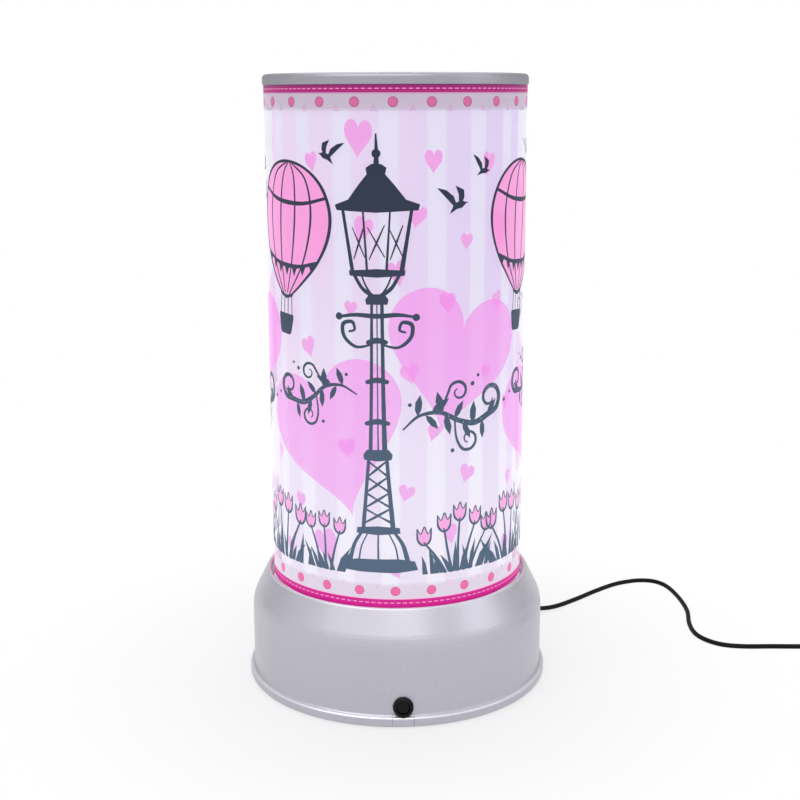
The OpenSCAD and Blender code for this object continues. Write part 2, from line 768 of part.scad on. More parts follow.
// Push switch
module switch_bushing() {
    flange_end = button_x - button_l + flange_t + fit;
    color([0.07, 0.07, 0.08]) outwards(switch_az, switch_z) difference() {
        union() {
            translate([0, 0, barrel_x]) cylinder(r = barrel_r, h = ring_x - barrel_x - ring_t / 2);
            translate([0, 0, spot_x]) rotate_extrude() polygon(concat(
                [[0, 0], [ring_r, 0]],
                arc([ring_r - ring_t / 3, ring_t * 2 / 3], ring_t / 3, 0, 90, 4),
                [[0, ring_t]]
            ));
        }
        translate([0, 0, barrel_x - cut]) cylinder(r = button_r + slide_gap, h = ring_x);
        translate([0, 0, barrel_x - cut])
            cylinder(r = flange_r + slide_gap, h = flange_end - barrel_x + cut);
    }
}

module switch_button() {
    color([0.1, 0.1, 0.11]) outwards(switch_az, switch_z) translate([0, 0, button_x - button_l]) {
        rotate_extrude() polygon(concat(
            [[0, 0], [flange_r, 0], [flange_r, flange_t], [button_r, flange_t]],
            arc([button_r - 0.5, button_l - 0.5], 0.5, 0, 90, 3),
            [[0, button_l]]
        ));
    }
}

module switch_nut() {
    color("silver") outwards(switch_az, switch_z) translate([0, 0, nut_x - nut_t]) difference() {
        rotate([0, 0, 30]) cylinder(r = nut_flats / 2 / cos(30), h = nut_t, $fn = 6);
        translate([0, 0, -cut]) cylinder(r = barrel_r + fit / 2, h = nut_t + 2 * cut);
    }
}

module switch_body() {
    color("dimgray") outwards(switch_az, switch_z) difference() {
        translate([-body_w / 2, -body_w / 2, barrel_x - body_l]) cube([body_w, body_w, body_l]);
        translate([0, 0, barrel_x - spring_seat]) cylinder(r = flange_r + slide_gap, h = spring_seat + cut);
    }
}

module switch_terminals() {
    color("gold") outwards(switch_az, switch_z) for (side = [-1, 1])
        translate([-1, side * 2.5 - 0.3, barrel_x - body_l - 4]) cube([2, 0.6, 4]);
}

// A tube swept along a path: one ring a point, kept from twisting, and flat ends
function unit(v) = v / norm(v);
function tangent(path, i) = unit(path[min(i + 1, len(path) - 1)] - path[max(i - 1, 0)]);
function square_to(n, t) = unit(n - (n * t) * t);
function first_normal(t) = square_to(abs(t.z) < 0.8 ? [0, 0, 1] : [0, 1, 0], t);

function normals_of(path) = [
    for (i = 0, n = first_normal(tangent(path, 0)); i < len(path);
         i = i + 1, n = i < len(path) ? square_to(n, tangent(path, i)) : n) n
];

module tube_along(path, r, sides) {
    normals = normals_of(path);
    points = [
        for (i = [0:len(path) - 1]) let (u = normals[i], v = cross(tangent(path, i), u))
            for (k = [0:sides - 1]) let (a = (k + 0.5) * 360 / sides) path[i] + r * (cos(a) * u + sin(a) * v)
    ];
    last = (len(path) - 1) * sides;
    polyhedron(points, concat(
        [for (i = [0:len(path) - 2], k = [0:sides - 1])
            let (a = i * sides + k, b = i * sides + (k + 1) % sides)
                each [[a, b, b + sides], [a, b + sides, a + sides]]],
        [for (k = [1:sides - 2]) [0, k + 1, k]],
        [for (k = [1:sides - 2]) [last, last + k, last + k + 1]]
    ), convexity = 6);
}

// A smooth path through chosen points
function between(a, b, c, d, t) =
    0.5 * (2 * b + (c - a) * t + (2 * a - 5 * b + 4 * c - d) * t * t + (3 * b - a - 3 * c + d) * t * t * t);
function smooth(pts, steps) = concat(
    [for (i = [0:len(pts) - 2], k = [0:steps - 1]) between(
        i > 0 ? pts[i - 1] : 2 * pts[0] - pts[1], pts[i], pts[i + 1],
        i < len(pts) - 2 ? pts[i + 2] : 2 * pts[i + 1] - pts[i], k / steps)],
    [pts[len(pts) - 1]]
);

spring_turns = 5;
spring_steps = 10;
spring_wire = 0.25;
spring_wind = 2;

module switch_spring() {
    low = barrel_x - spring_seat + spring_wire;
    high = button_x - button_l - spring_wire;
    color("silver") outwards(switch_az, switch_z) tube_along([
        for (i = [0:spring_turns * spring_steps]) let (a = i * 360 / spring_steps)
            [spring_wind * cos(a), spring_wind * sin(a), low + (high - low) * i / spring_turns / spring_steps]
    ], spring_wire, 5);
}

// Two insulated leads side by side inside the base
lead_step = 1.6;
module lead_pair(route) {
    middle = smooth(route, lead_steps);
    normals = normals_of(middle);
    for (side = [-lead_step / 2, lead_step / 2])
        tube_along([for (i = [0:len(middle) - 1]) middle[i] + side * normals[i]], lead_r, lead_sides);
}

module supply_lead() {
    route = [
        exit_point, exit_point - 8 * exit_dir, exit_point - 15 * exit_dir,
        (clamp_x + 4) * exit_dir + [0, 0, lead_z + 0.6], clamp_x * exit_dir + [0, 0, lead_z],
        (clamp_x - 5) * exit_dir + [0, 0, lead_z], [board_at.x + 13, board_at.y + 38, 9],
        [board_at.x + 13, board_at.y + 26, 16],
        socket_point(2) + [0, 0.5, 5], socket_point(2) + [0, 0, 0.2]
    ];
    color([0.12, 0.12, 0.14]) tube_along(smooth(route, lead_steps), cord_d / 2, 8);
}

board_edge = board_at.y + board_size.y / 2;
module motor_leads() {
    start = [motor_at.x + motor_boss_r + 4, motor_at.y - 2, motor_z - 0.3];
    color("firebrick") lead_pair([
        start, start + [0, 0, -2], start + [4, -4, -5], [0, board_edge + 3, 9], [8, board_edge + 1, 14],
        socket_point(0) + lead_drop + [0, 1.5, 2.5], socket_point(0) + lead_drop, socket_point(0)
    ]);
}

module led_leads() {
    color("white") lead_pair([
        socket_point(1), socket_point(1) + lead_drop, [12, board_edge, 26], [4, 0, deck_z - 8.5],
        [0, 0, deck_z - column_flange_t + 1], [0, 0, deck_top], [0, 0, carrier_top]
    ]);
}

module switch_leads() {
    back = barrel_x - body_l - 4;
    foot = [back * cos(switch_az), back * sin(switch_az), switch_z];
    color("gold") lead_pair([
        foot, foot + [0, 1, 3], foot + [1, 3, 8], socket_point(3) + lead_drop + [-1, -2, 3],
        socket_point(3) + lead_drop, socket_point(3)
    ]);
}

module cord_clamp() {
    color("whitesmoke") rotate([0, 0, grommet_az]) difference() {
        translate([clamp_x - 3, -clamp_half - 3, clamp_z]) cube([6, 2 * clamp_half + 6, clamp_t]);
        for (side = [-1, 1]) translate([clamp_x, side * clamp_half, clamp_z - cut])
            cylinder(r = clamp_screw_r + fit, h = clamp_t + 2 * cut);
    }
}

module clamp_screws() {
    color("dimgray") rotate([0, 0, grommet_az]) for (side = [-1, 1])
        translate([clamp_x, side * clamp_half, clamp_z + clamp_t]) mirror([0, 0, 1])
            screw_up(clamp_screw_r, clamp_t + 2);
}

module cord_grommet() {
    color([0.08, 0.08, 0.09]) outwards(grommet_az, grommet_z) difference() {
        union() {
            translate([0, 0, grommet_in]) cylinder(r = grommet_r, h = grommet_spot - grommet_in);
            translate([0, 0, grommet_in]) cylinder(r = collar_r - 0.2, h = 1.6);
            translate([0, 0, grommet_spot]) cylinder(r = collar_r, h = collar_t);
            translate([0, 0, grommet_spot + collar_t])
                cylinder(r1 = grommet_r + 0.4, r2 = boot_tip_r, h = boot_l);
        }
        translate([0, 0, grommet_in - cut]) cylinder(r = cord_d / 2 + 0.05, h = exit_x);
    }
}

// The cord's route on the table, from the grommet to the coil
lie = cord_d / 2 + 0.1;
coil_at = [232, 36];
coil_r = 18.8;               // radius of the outermost turn's middle
coil_step = cord_d + coil_room;
strap_t = 0.6;
coil_z = strap_t + fit + cord_d / 2;
coil_rings = 24;
spiral_loops = coil_loops - 0.5;
cord_end = [coil_at.x - cord_d, coil_at.y - coil_r, coil_z];
cord_route = [
    exit_point, exit_point + 3 * exit_dir, [65, 58.5, 8.2], [70.5, 62.8, 5], [77, 67.2, 2.4],
    [86, 73.5, lie], [97.5, 83.5, lie], [110, 96, lie], [122, 106.5, lie], [131.5, 111.5, lie],
    [139.5, 113, lie], [146.5, 110.5, lie], [151.5, 102, lie], [154.5, 84.5, lie], [155, 66, lie],
    [152.5, 48.5, lie], [152.5, 35.5, lie], [156, 26.5, lie], [163, 20, lie], [173, 17.5, lie],
    [188, 17.4, lie], [205, 17.2, lie], [221, 17.2, 1.8], cord_end - [3, 0, 0], cord_end
];

module cord_free() {
    color([0.12, 0.12, 0.14]) tube_along(smooth(cord_route, 3), cord_d / 2, 8);
}

// Coil: each layer spirals in or out, then climbs to the next layer in half a turn, and swings a
// quarter of a step past the spiral's end as it climbs
function coil_layer(u) = min(floor(u / coil_loops), coil_layers - 1);
function climbed(u) = max(0, 2 * (u - coil_layer(u) * coil_loops - spiral_loops));
function coil_radius(u) =
    let (done = min(u - coil_layer(u) * coil_loops, spiral_loops), swing = sin(180 * climbed(u)) / 4)
    coil_r - coil_step * (coil_layer(u) % 2 == 0 ? done + swing : spiral_loops - done - swing);
function coil_height(u) = coil_z + coil_step * (coil_layer(u) + climbed(u));
coil_turns = coil_loops * coil_layers - 0.75;
function coil_point(u) =
    [coil_at.x + coil_radius(u) * sin(u * 360), coil_at.y - coil_radius(u) * cos(u * 360), coil_height(u)];
coil_end = coil_point(coil_turns);
coil_path = concat(
    [cord_end],
    [for (i = [0:round(coil_turns * coil_rings)]) coil_point(i / coil_rings)],
    [coil_end + [0, cord_d, 0]]
);
coil_gap = min([for (i = [0:len(coil_path) - 1], j = [i + coil_rings / 2:len(coil_path) - 1])
    norm(coil_path[i] - coil_path[j])]) - cord_d;

module cord_coil() {
    color([0.12, 0.12, 0.14]) tube_along(coil_path, cord_d / 2, 6);
    echo(coil_gap = coil_gap, coil_length = path_length(coil_path),
        cord_length = path_length(coil_path) + path_length(smooth(cord_route, 3)) + path_length(tail_path));
}

function path_length(path) = len(path) < 2 ? 0 :
    [for (i = 1, s = norm(path[1] - path[0]); i < len(path);
          i = i + 1, s = i < len(path) ? s + norm(path[i] - path[i - 1]) : s) s][len(path) - 2];

// Plug: it lies on the table behind the coil
plug_size = [16, 20, 8.4];
plug_shell_size = [12, 12, 4.5];
plug_boot_l = 9;
tail_start = coil_end + [0, cord_d, 0];
plug_at = [coil_end.x, coil_at.y + 34, plug_size.z / 2 + fit];
tail_path = smooth([
    tail_start, tail_start + [0, 3, -0.2], plug_at + [0, -20, 3.7], plug_at + [0, -12, 1.1],
    plug_at - [0, 3, 0], plug_at
], 4);

module cord_tail() {
    color([0.12, 0.12, 0.14]) tube_along(tail_path, cord_d / 2, 8);
}

// The band that holds the coil, round one side of its turns
tie_az = 90;
tie_w = 5;
coil_in = coil_r - coil_step * spiral_loops - cord_d / 2;
coil_top = coil_z + coil_step * (coil_layers - 1) + cord_d / 2;
tie_room = 0.3;
tie_in = coil_in - 0.85;      // the turns curve in under a flat band
tie_out = coil_r + cord_d / 2 + tie_room;

module cord_tie() {
    color("black") translate([coil_at.x, coil_at.y, 0]) rotate([0, 0, tie_az])
        translate([tie_in - strap_t, tie_w / 2, 0]) rotate([90, 0, 0]) linear_extrude(tie_w)
            difference() {
                square([tie_out - tie_in + 2 * strap_t, coil_top + tie_room + strap_t]);
                translate([strap_t, strap_t]) square([tie_out - tie_in, coil_top + tie_room - strap_t]);
            }
}

module at_plug() {
    translate(plug_at) rotate([-90, 0, 0]) children();
}

module plug_boot() {
    color([0.12, 0.12, 0.14]) at_plug() cylinder(r1 = cord_d / 2 + 0.5, r2 = 3, h = plug_boot_l);
}

module plug_body() {
    bevel = 1.2;
    w = plug_size.x / 2;
    t = plug_size.z / 2;
    color([0.1, 0.1, 0.11]) at_plug() translate([0, 0, plug_boot_l]) linear_extrude(plug_size.y) polygon([
        [-w + bevel, -t], [w - bevel, -t], [w, -t + bevel], [w, t - bevel],
        [w - bevel, t], [-w + bevel, t], [-w, t - bevel], [-w, -t + bevel]
    ]);
}

module plug_shell() {
    wall = 0.3;
    color("silver") at_plug() translate([0, 0, plug_boot_l + plug_size.y]) linear_extrude(plug_shell_size.y)
        difference() {
            square([plug_shell_size.x, plug_shell_size.z], center = true);
            square([plug_shell_size.x - 2 * wall, plug_shell_size.z - 2 * wall], center = true);
        }
}

module plug_tongue() {
    color("white") at_plug() translate([fit * 8 - plug_shell_size.x / 2, fit, plug_boot_l + plug_size.y])
        cube([plug_shell_size.x - fit * 16, 1.7, plug_shell_size.y - 0.6]);
}

base_housing();
bottom_cover();
cover_screws();
rubber_feet();
chassis_deck();
deck_screws();
centre_column();
column_screws();
thrust_washer();
hub_bush();
retaining_clip();
turntable();
motion_sleeve();
sleeve_ring();
pivot_pin();
outer_tube();
print_film();
top_cap();
gearbox();
motor_can();
motor_screws();
drive_shaft();
drive_pinion();
led_carrier();
led_board();
led_chips();
led_screws();
led_lens();
control_board();
board_parts();
board_screws();
switch_bushing();
switch_body();
switch_nut();
switch_button();
switch_spring();
switch_terminals();
supply_lead();
motor_leads();
led_leads();
switch_leads();
cord_clamp();
clamp_screws();
cord_grommet();
cord_free();
cord_coil();
cord_tail();
cord_tie();
plug_boot();
plug_body();
plug_shell();
plug_tongue();
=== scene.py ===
import math
import random

import bmesh
import bpy
from mathutils import Matrix, Vector


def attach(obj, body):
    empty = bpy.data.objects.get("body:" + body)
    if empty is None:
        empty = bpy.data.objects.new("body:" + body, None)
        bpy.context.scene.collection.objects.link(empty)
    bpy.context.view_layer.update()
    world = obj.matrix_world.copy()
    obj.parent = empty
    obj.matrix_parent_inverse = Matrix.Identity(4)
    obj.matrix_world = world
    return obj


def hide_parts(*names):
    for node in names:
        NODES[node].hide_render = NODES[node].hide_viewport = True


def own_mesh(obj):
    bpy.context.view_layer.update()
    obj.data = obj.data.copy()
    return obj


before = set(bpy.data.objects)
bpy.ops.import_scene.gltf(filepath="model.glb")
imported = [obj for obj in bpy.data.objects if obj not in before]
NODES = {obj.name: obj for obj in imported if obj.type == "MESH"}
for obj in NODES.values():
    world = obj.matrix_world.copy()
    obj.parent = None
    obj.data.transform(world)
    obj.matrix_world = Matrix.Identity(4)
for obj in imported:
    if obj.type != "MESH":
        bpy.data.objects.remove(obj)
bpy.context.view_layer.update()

MM = 0.001

# Sizes of the part, in millimetres
BASE_R = 68.8                   # the base's straight wall
FILM_R, FILM_LOW, FILM_TOP = 58.5, 42.3, 275.3
SLEEVE_R, SLEEVE_TOP = 55.0, 268.0
CORD_D = 2.4
PRINT_LIFT = 0.01               # from the film's face to the first layer of the print
LAYER = 0.008                   # radial step between layers of the print
PIECE = 1.5                     # widest flat piece of a printed shape
ROUND = 2 * math.pi * FILM_R    # the print's length round the tube


# ---------------------------------------------------------------- camera
CAMERA_AT, CAMERA_PITCH, CAMERA_ROLL = (0.00167, -0.6221, 0.2707), 77.425, -0.142

camera_data = bpy.data.cameras.new("camera")
camera_data.lens = 61.41
camera_data.sensor_width = 36.0
camera_data.clip_start = 0.01
camera = bpy.data.objects.new("camera", camera_data)
bpy.context.scene.collection.objects.link(camera)
camera.matrix_world = (
    Matrix.Translation(CAMERA_AT)
    @ Matrix.Rotation(math.radians(CAMERA_PITCH), 4, "X")
    @ Matrix.Rotation(math.radians(CAMERA_ROLL), 4, "Z")
)
bpy.context.scene.camera = camera
bpy.context.scene.view_settings.view_transform = "Standard"


# ---------------------------------------------------------------- materials
def srgb(r, g, b):
    def one(c):
        c /= 255.0
        return c / 12.92 if c <= 0.04045 else ((c + 0.055) / 1.055) ** 2.4
    return (one(r), one(g), one(b), 1.0)


def times(color, factor):
    """A lighter or darker colour."""
    return tuple(min(1.0, c * factor) for c in color[:3]) + (1.0,)


class Shader:
    """A Principled material and short calls that add nodes to it."""

    def __init__(self, name, color, rough, metal=0.0, **sockets):
        self.mat = bpy.data.materials.new(name)
        self.mat.use_nodes = True
        self.nodes = self.mat.node_tree.nodes
        self.links = self.mat.node_tree.links
        self.bsdf = self.nodes["Principled BSDF"]
        self.set("Base Color", color)
        self.set("Roughness", rough)
        self.set("Metallic", metal)
        for key, value in sockets.items():
            self.set(key.replace("_", " "), value)
        self.mat.diffuse_color = color

    def set(self, socket, value):
        if isinstance(value, bpy.types.NodeSocket):
            self.links.new(value, self.bsdf.inputs[socket])
        else:
            self.bsdf.inputs[socket].default_value = value

    def add(self, kind, **inputs):
        node = self.nodes.new("ShaderNode" + kind)
        for key, value in inputs.items():
            self.plug(node, key, value)
        return node

    def plug(self, node, key, value):
        socket = node.inputs[int(key[1:])] if key[0] == "i" and key[1:].isdigit() else node.inputs[key]
        if isinstance(value, bpy.types.NodeSocket):
            self.links.new(value, socket)
        else:
            socket.default_value = value

    def math(self, op, a, b=0.0, c=0.0):
        node = self.nodes.new("ShaderNodeMath")
        node.operation = op
        for i, value in enumerate((a, b, c)):
            self.plug(node, "i%d" % i, value)
        return node.outputs[0]

    def object_point(self):
        return self.add("TexCoord").outputs["Object"]

    def xyz(self):
        node = self.add("SeparateXYZ", i0=self.object_point())
        return node.outputs[0], node.outputs[1], node.outputs[2]

    def from_axis(self, x, y):
        """Distance from the lamp's axis."""
        return self.math("SQRT", self.math("ADD", self.math("MULTIPLY", x, x), self.math("MULTIPLY", y, y)))

    def round_angle(self, x, y):
        """Angle round the lamp in radians, 0 at the front, growing to the right."""
        return self.math("ARCTAN2", x, self.math("MULTIPLY", y, -1.0))

    def ramp(self, value, low, high):
        """0 below low and 1 above high, or the other way round where low is the larger one."""
        node = self.nodes.new("ShaderNodeMapRange")
        node.interpolation_type = "SMOOTHSTEP"
        self.plug(node, "Value", value)
        node.inputs["From Min"].default_value = low
        node.inputs["From Max"].default_value = high
        return node.outputs[0]

    def mix(self, fac, a, b):
        node = self.nodes.new("ShaderNodeMix")
        node.data_type = "RGBA"
        for key, value in (("i0", fac), ("i6", a), ("i7", b)):
            self.plug(node, key, value)
        return node.outputs[2]

    def noise(self, scale, detail=2.0, stretch=None):
        point = self.object_point()
        if stretch:
            node = self.add("Mapping", i0=point)
            node.inputs["Scale"].default_value = stretch
            point = node.outputs[0]
        node = self.add("TexNoise", Vector=point)
        node.inputs["Scale"].default_value = scale
        node.inputs["Detail"].default_value = detail
        return node.outputs[0]

    def bump(self, height, strength, distance):
        node = self.add("Bump", Height=height)
        node.inputs["Strength"].default_value = strength
        node.inputs["Distance"].default_value = distance
        self.links.new(node.outputs[0], self.bsdf.inputs["Normal"])

    def shade(self, color, amount, scale, **k):
        """The colour varies a little, as moulded or painted surfaces do."""
        dark, light = times(color, 1 - amount), times(color, 1 + amount)
        self.set("Base Color", self.mix(self.noise(scale, **k), dark, light))


def plastic(name, color, rough, grain=0.00002, shine=0.5):
    s = Shader(name, color, rough, Specular_IOR_Level=shine)
    s.shade(color, 0.05, 60.0)
    s.set("Roughness", s.math("MULTIPLY_ADD", s.noise(400.0), 0.12, rough - 0.06))
    s.bump(s.noise(2500.0, 3.0), 0.25, grain)
    return s.mat


def steel(name, color, rough):
    s = Shader(name, color, rough, 1.0)
    stretch = (1, 1, 30)        # fine turning marks round the upright axis
    s.shade(color, 0.12, 300.0, stretch=stretch)
    s.set("Roughness", s.math("MULTIPLY_ADD", s.noise(700.0, stretch=stretch), 0.2, rough - 0.08))
    s.bump(s.noise(1500.0, 2.0, stretch=stretch), 0.2, 0.00002)
    return s.mat


def silver_paint(name, color, rough, edges=None):
    """Metallic paint on moulded plastic: fine flakes, a soft sheen, a thin clear coat and painted highlights
    on chosen edges.
    """
    s = Shader(name, color, rough, 0.62, Coat_Weight=0.12, Coat_Roughness=0.2)
    flakes = s.ramp(s.noise(2600.0, 1.0), 0.42, 0.66)
    cloud = s.noise(22.0, 3.0)
    ground = s.mix(cloud, times(color, 0.93), times(color, 1.06))
    paint_color = s.mix(s.math("MULTIPLY", flakes, 0.5), ground, times(color, 1.22))
    if edges:
        # painted highlight: the colour is lightened towards near white where the edges mask is 1
        paint_color = s.mix(s.math("MULTIPLY", edges(s), 0.75), paint_color, srgb(243, 238, 246))
    s.set("Base Color", paint_color)
    s.set("Roughness", s.math("MULTIPLY_ADD", cloud, 0.08, rough - 0.04))
    s.bump(s.noise(1800.0, 2.0), 0.12, 0.00002)
    return s.mat


def base_painted_highlights(s):
    """1 on the round of the rim and on the crest of the foot flange, where the colour is lightened: a painted
    reflection of the glow on the rim and a painted highlight on the crest.
    """
    x, y, z = s.xyz()
    out = s.from_axis(x, y)
    rim = s.math("MULTIPLY", s.ramp(z, 0.0516, 0.0524), s.ramp(out, 0.0622, 0.0612))
    crest = s.math("MULTIPLY", s.ramp(z, 0.0043, 0.0051), s.ramp(z, 0.0060, 0.0054))
    return s.math("MAXIMUM", rim, s.math("MULTIPLY", crest, s.ramp(out, 0.0691, 0.0697)))


SILVER = silver_paint("silver_paint", srgb(186, 184, 193), 0.36, base_painted_highlights)
# painted shade: the cap's silver is darker than the base's, standing in for the darker surroundings its side
# reflects
CAP = silver_paint("cap_paint", srgb(158, 157, 166), 0.38)
BLACK = plastic("black_plastic", srgb(10, 10, 13), 0.42, shine=0.16)
RUBBER = plastic("black_rubber", srgb(24, 24, 27), 0.75, 0.00005)
WHITE = plastic("white_plastic", srgb(232, 231, 228), 0.45)
IVORY = plastic("bearing_plastic", srgb(226, 220, 200), 0.4)
STEEL = steel("bright_steel", srgb(198, 198, 202), 0.28)
DARK_STEEL = steel("dark_steel", srgb(88, 88, 94), 0.35)
BRASS = steel("contact_brass", srgb(214, 178, 96), 0.25)
BOARD = plastic("board_green", srgb(38, 96, 60), 0.3)
DARK = plastic("component_plastic", srgb(44, 44, 50), 0.5)
RED = plastic("red_lead", srgb(168, 40, 40), 0.5)
PALE = plastic("white_lead", srgb(222, 222, 222), 0.5)
YELLOW = plastic("yellow_lead", srgb(214, 170, 60), 0.5)
LENS = plastic("lens_plastic", srgb(238, 238, 245), 0.3)

cord_shader = Shader("cord_jacket", srgb(12, 12, 17), 0.45, Specular_IOR_Level=0.12)
cord_shader.shade(srgb(12, 12, 17), 0.12, 120.0)
cord_shader.bump(cord_shader.noise(3000.0, 2.0), 0.15, 0.00002)
CORD = cord_shader.mat

chip_shader = Shader(
    "lamp_chip", srgb(250, 240, 246), 0.4, Emission_Color=srgb(255, 232, 246), Emission_Strength=1.0,
)
chip_shader.shade(srgb(250, 240, 246), 0.04, 300.0)
CHIP = chip_shader.mat

tube_shader = Shader("clear_tube", srgb(240, 240, 248), 0.05, IOR=1.46, Alpha=0.03)
tube_shader.shade(srgb(240, 240, 248), 0.02, 9.0)
tube_shader.bump(tube_shader.noise(9.0, 1.0), 0.02, 0.0005)
TUBE = tube_shader.mat


def paint(names, mat):
    """Give CAD nodes, named in one string, a material of their own."""
    for name in names.split():
        node = NODES[name]
        if not node.material_slots:
            node.data.materials.append(mat)
        for s in node.material_slots:
            s.link = "OBJECT"
            s.material = mat


paint("base_housing bottom_cover", SILVER)
paint("top_cap", CAP)
paint("outer_tube", TUBE)
paint("switch_bushing switch_button cord_grommet plug_body cord_tie", BLACK)
paint("rubber_feet", RUBBER)
paint("cord_free cord_coil cord_tail supply_lead plug_boot", CORD)
paint("chassis_deck centre_column turntable sleeve_ring", WHITE)
paint("led_carrier led_board cord_clamp plug_tongue", WHITE)
paint("thrust_washer hub_bush gearbox drive_pinion", IVORY)
paint("pivot_pin drive_shaft motor_can switch_nut plug_shell", STEEL)
paint("cover_screws deck_screws column_screws motor_screws", DARK_STEEL)
paint("led_screws board_screws clamp_screws retaining_clip", DARK_STEEL)
paint("switch_terminals", BRASS)
paint("control_board", BOARD)
paint("board_parts switch_body", DARK)
paint("motor_leads", RED)
paint("led_leads", PALE)
paint("switch_leads", YELLOW)
paint("led_lens", LENS)
paint("led_chips", CHIP)


# ---------------------------------------------------------------- mesh helpers
def make(name, verts, faces, mat, body):
    """A smooth mesh object in the row frame, from points in metres."""
    mesh = bpy.data.meshes.new(name)
    mesh.from_pydata(verts, [], faces)
    mesh.update()
    mesh.polygons.foreach_set("use_smooth", [True] * len(mesh.polygons))
    mesh.materials.append(mat)
    obj = bpy.data.objects.new(name, mesh)
    bpy.context.scene.collection.objects.link(obj)
    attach(obj, body)
    return obj


def smooth_path(points, steps):
    """The Catmull-Rom path of the part's source."""
    out = []
    n = len(points)
    for i in range(n - 1):
        b, c = Vector(points[i]), Vector(points[i + 1])
        a = Vector(points[i - 1]) if i else 2 * b - c
        d = Vector(points[i + 2]) if i < n - 2 else 2 * c - b
        for k in range(steps):
            t = k / steps
            square, cube = 2 * a - 5 * b + 4 * c - d, 3 * b - a - 3 * c + d
            out.append(0.5 * (2 * b + (c - a) * t + square * t * t + cube * t ** 3))
    out.append(Vector(points[-1]))
    return out


# ---------------------------------------------------------------- cord
EXIT_AZ, EXIT_Z = math.radians(42.0), 9.5
SPOT_R, SPOT_SINK = 4.6, 0.1            # the flat spot that the grommet's collar seats on
COLLAR_T, BOOT_L = 1.5, 9.0             # the grommet's collar and its tapered boot
EXIT_X = math.sqrt(BASE_R ** 2 - SPOT_R ** 2) - SPOT_SINK + COLLAR_T + BOOT_L
EXIT_DIR = Vector((math.cos(EXIT_AZ), math.sin(EXIT_AZ), 0.0))
EXIT = EXIT_X * EXIT_DIR + Vector((0, 0, EXIT_Z))
LIE = CORD_D / 2 + 0.1                  # height of the cord's middle where it lies on the table
COIL_AT, COIL_R, COIL_STEP, COIL_Z = (232.0, 36.0), 18.8, 2.85, 1.9
COIL_LOOPS, COIL_LAYERS = 3.5, 4        # loops in each layer, and layers
SPIRAL = COIL_LOOPS - 0.5               # loops of a layer before it climbs to the next one
COIL_TURNS = COIL_LOOPS * COIL_LAYERS - 0.75
COIL_POINTS = 48                        # points in each turn
ROUTE_STEPS = 8                         # points from one chosen point of the route to the next
LEAST_STEP = 0.25                       # points closer than this are left out
CORD_END = Vector((COIL_AT[0] - CORD_D, COIL_AT[1] - COIL_R, COIL_Z))
PLUG_Y, PLUG_Z = 70.0, 4.3              # where the cord meets the plug's boot


def coil_point(u):
    """The cord's middle after u turns: it spirals in and out again, and climbs where it reverses."""
    layer = min(math.floor(u / COIL_LOOPS), COIL_LAYERS - 1)
    climbed = max(0.0, 2 * (u - layer * COIL_LOOPS - SPIRAL))
    done = min(u - layer * COIL_LOOPS, SPIRAL)
    swing = math.sin(math.pi * climbed) / 4
    r = COIL_R - COIL_STEP * (done + swing if layer % 2 == 0 else SPIRAL - done - swing)
    a = 2 * math.pi * u
    z = COIL_Z + COIL_STEP * (layer + climbed)
    return Vector((COIL_AT[0] + r * math.sin(a), COIL_AT[1] - r * math.cos(a), z))


route = smooth_path([
    EXIT, EXIT + 3 * EXIT_DIR, (65, 58.5, 8.2), (70.5, 62.8, 5), (77, 67.2, 2.4),
    (86, 73.5, LIE), (97.5, 83.5, LIE), (110, 96, LIE), (122, 106.5, LIE), (131.5, 111.5, LIE),
    (139.5, 113, LIE), (146.5, 110.5, LIE), (151.5, 102, LIE), (154.5, 84.5, LIE), (155, 66, LIE),
    (152.5, 48.5, LIE), (152.5, 35.5, LIE), (156, 26.5, LIE), (163, 20, LIE), (173, 17.5, LIE),
    (188, 17.4, LIE), (205, 17.2, LIE), (221, 17.2, 1.8), CORD_END - Vector((3, 0, 0)), CORD_END,
], ROUTE_STEPS)
coil = [coil_point(i / COIL_POINTS) for i in range(round(COIL_TURNS * COIL_POINTS) + 1)]
tail_start = coil[-1] + Vector((0, CORD_D, 0))
plug_at = Vector((coil[-1].x, PLUG_Y, PLUG_Z))
tail = smooth_path([
    tail_start, tail_start + Vector((0, 3, -0.2)), (plug_at.x, 50, 8), (plug_at.x, 58, 5.4),
    plug_at - Vector((0, 3, 0)), plug_at,
], ROUTE_STEPS)
cord_points = []
for p in route + coil + tail:
    if not cord_points or (p - cord_points[-1]).length > LEAST_STEP:
        cord_points.append(p)

curve = bpy.data.curves.new("power_cord", "CURVE")
curve.dimensions = "3D"
curve.bevel_depth = CORD_D / 2 * MM
curve.bevel_resolution = 4
curve.use_fill_caps = True
spline = curve.splines.new("POLY")
spline.points.add(len(cord_points) - 1)
for point, p in zip(spline.points, cord_points):
    point.co = (p.x * MM, p.y * MM, p.z * MM, 1.0)
spline.use_smooth = True
curve.materials.append(CORD)
power_cord = bpy.data.objects.new("power_cord", curve)
bpy.context.scene.collection.objects.link(power_cord)
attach(power_cord, "base")
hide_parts("cord_free", "cord_coil", "cord_tail")


# ---------------------------------------------------------------- return spring of the push button
SWITCH_AZ, SWITCH_Z = math.radians(-87.7), 9.7
SPRING_FOOT, SPRING_TIP = 54.05, 61.03      # from the lamp's axis, in the switch's pocket and at the button
SPRING_TURNS, SPRING_R, WIRE_R = 5, 2.0, 0.25


def wire_height(turn):
    """From the spring's foot to the middle of its wire. The first and the last turn lie close."""
    close, wide_turns = 2.1 * WIRE_R, SPRING_TURNS - 2
    wide = (SPRING_TIP - SPRING_FOOT - 2 * WIRE_R - 2 * close) / wide_turns
    done_close = min(turn, 1) + max(turn - 1 - wide_turns, 0)
    done_wide = min(max(turn - 1, 0), wide_turns)
    return WIRE_R + close * done_close + wide * done_wide


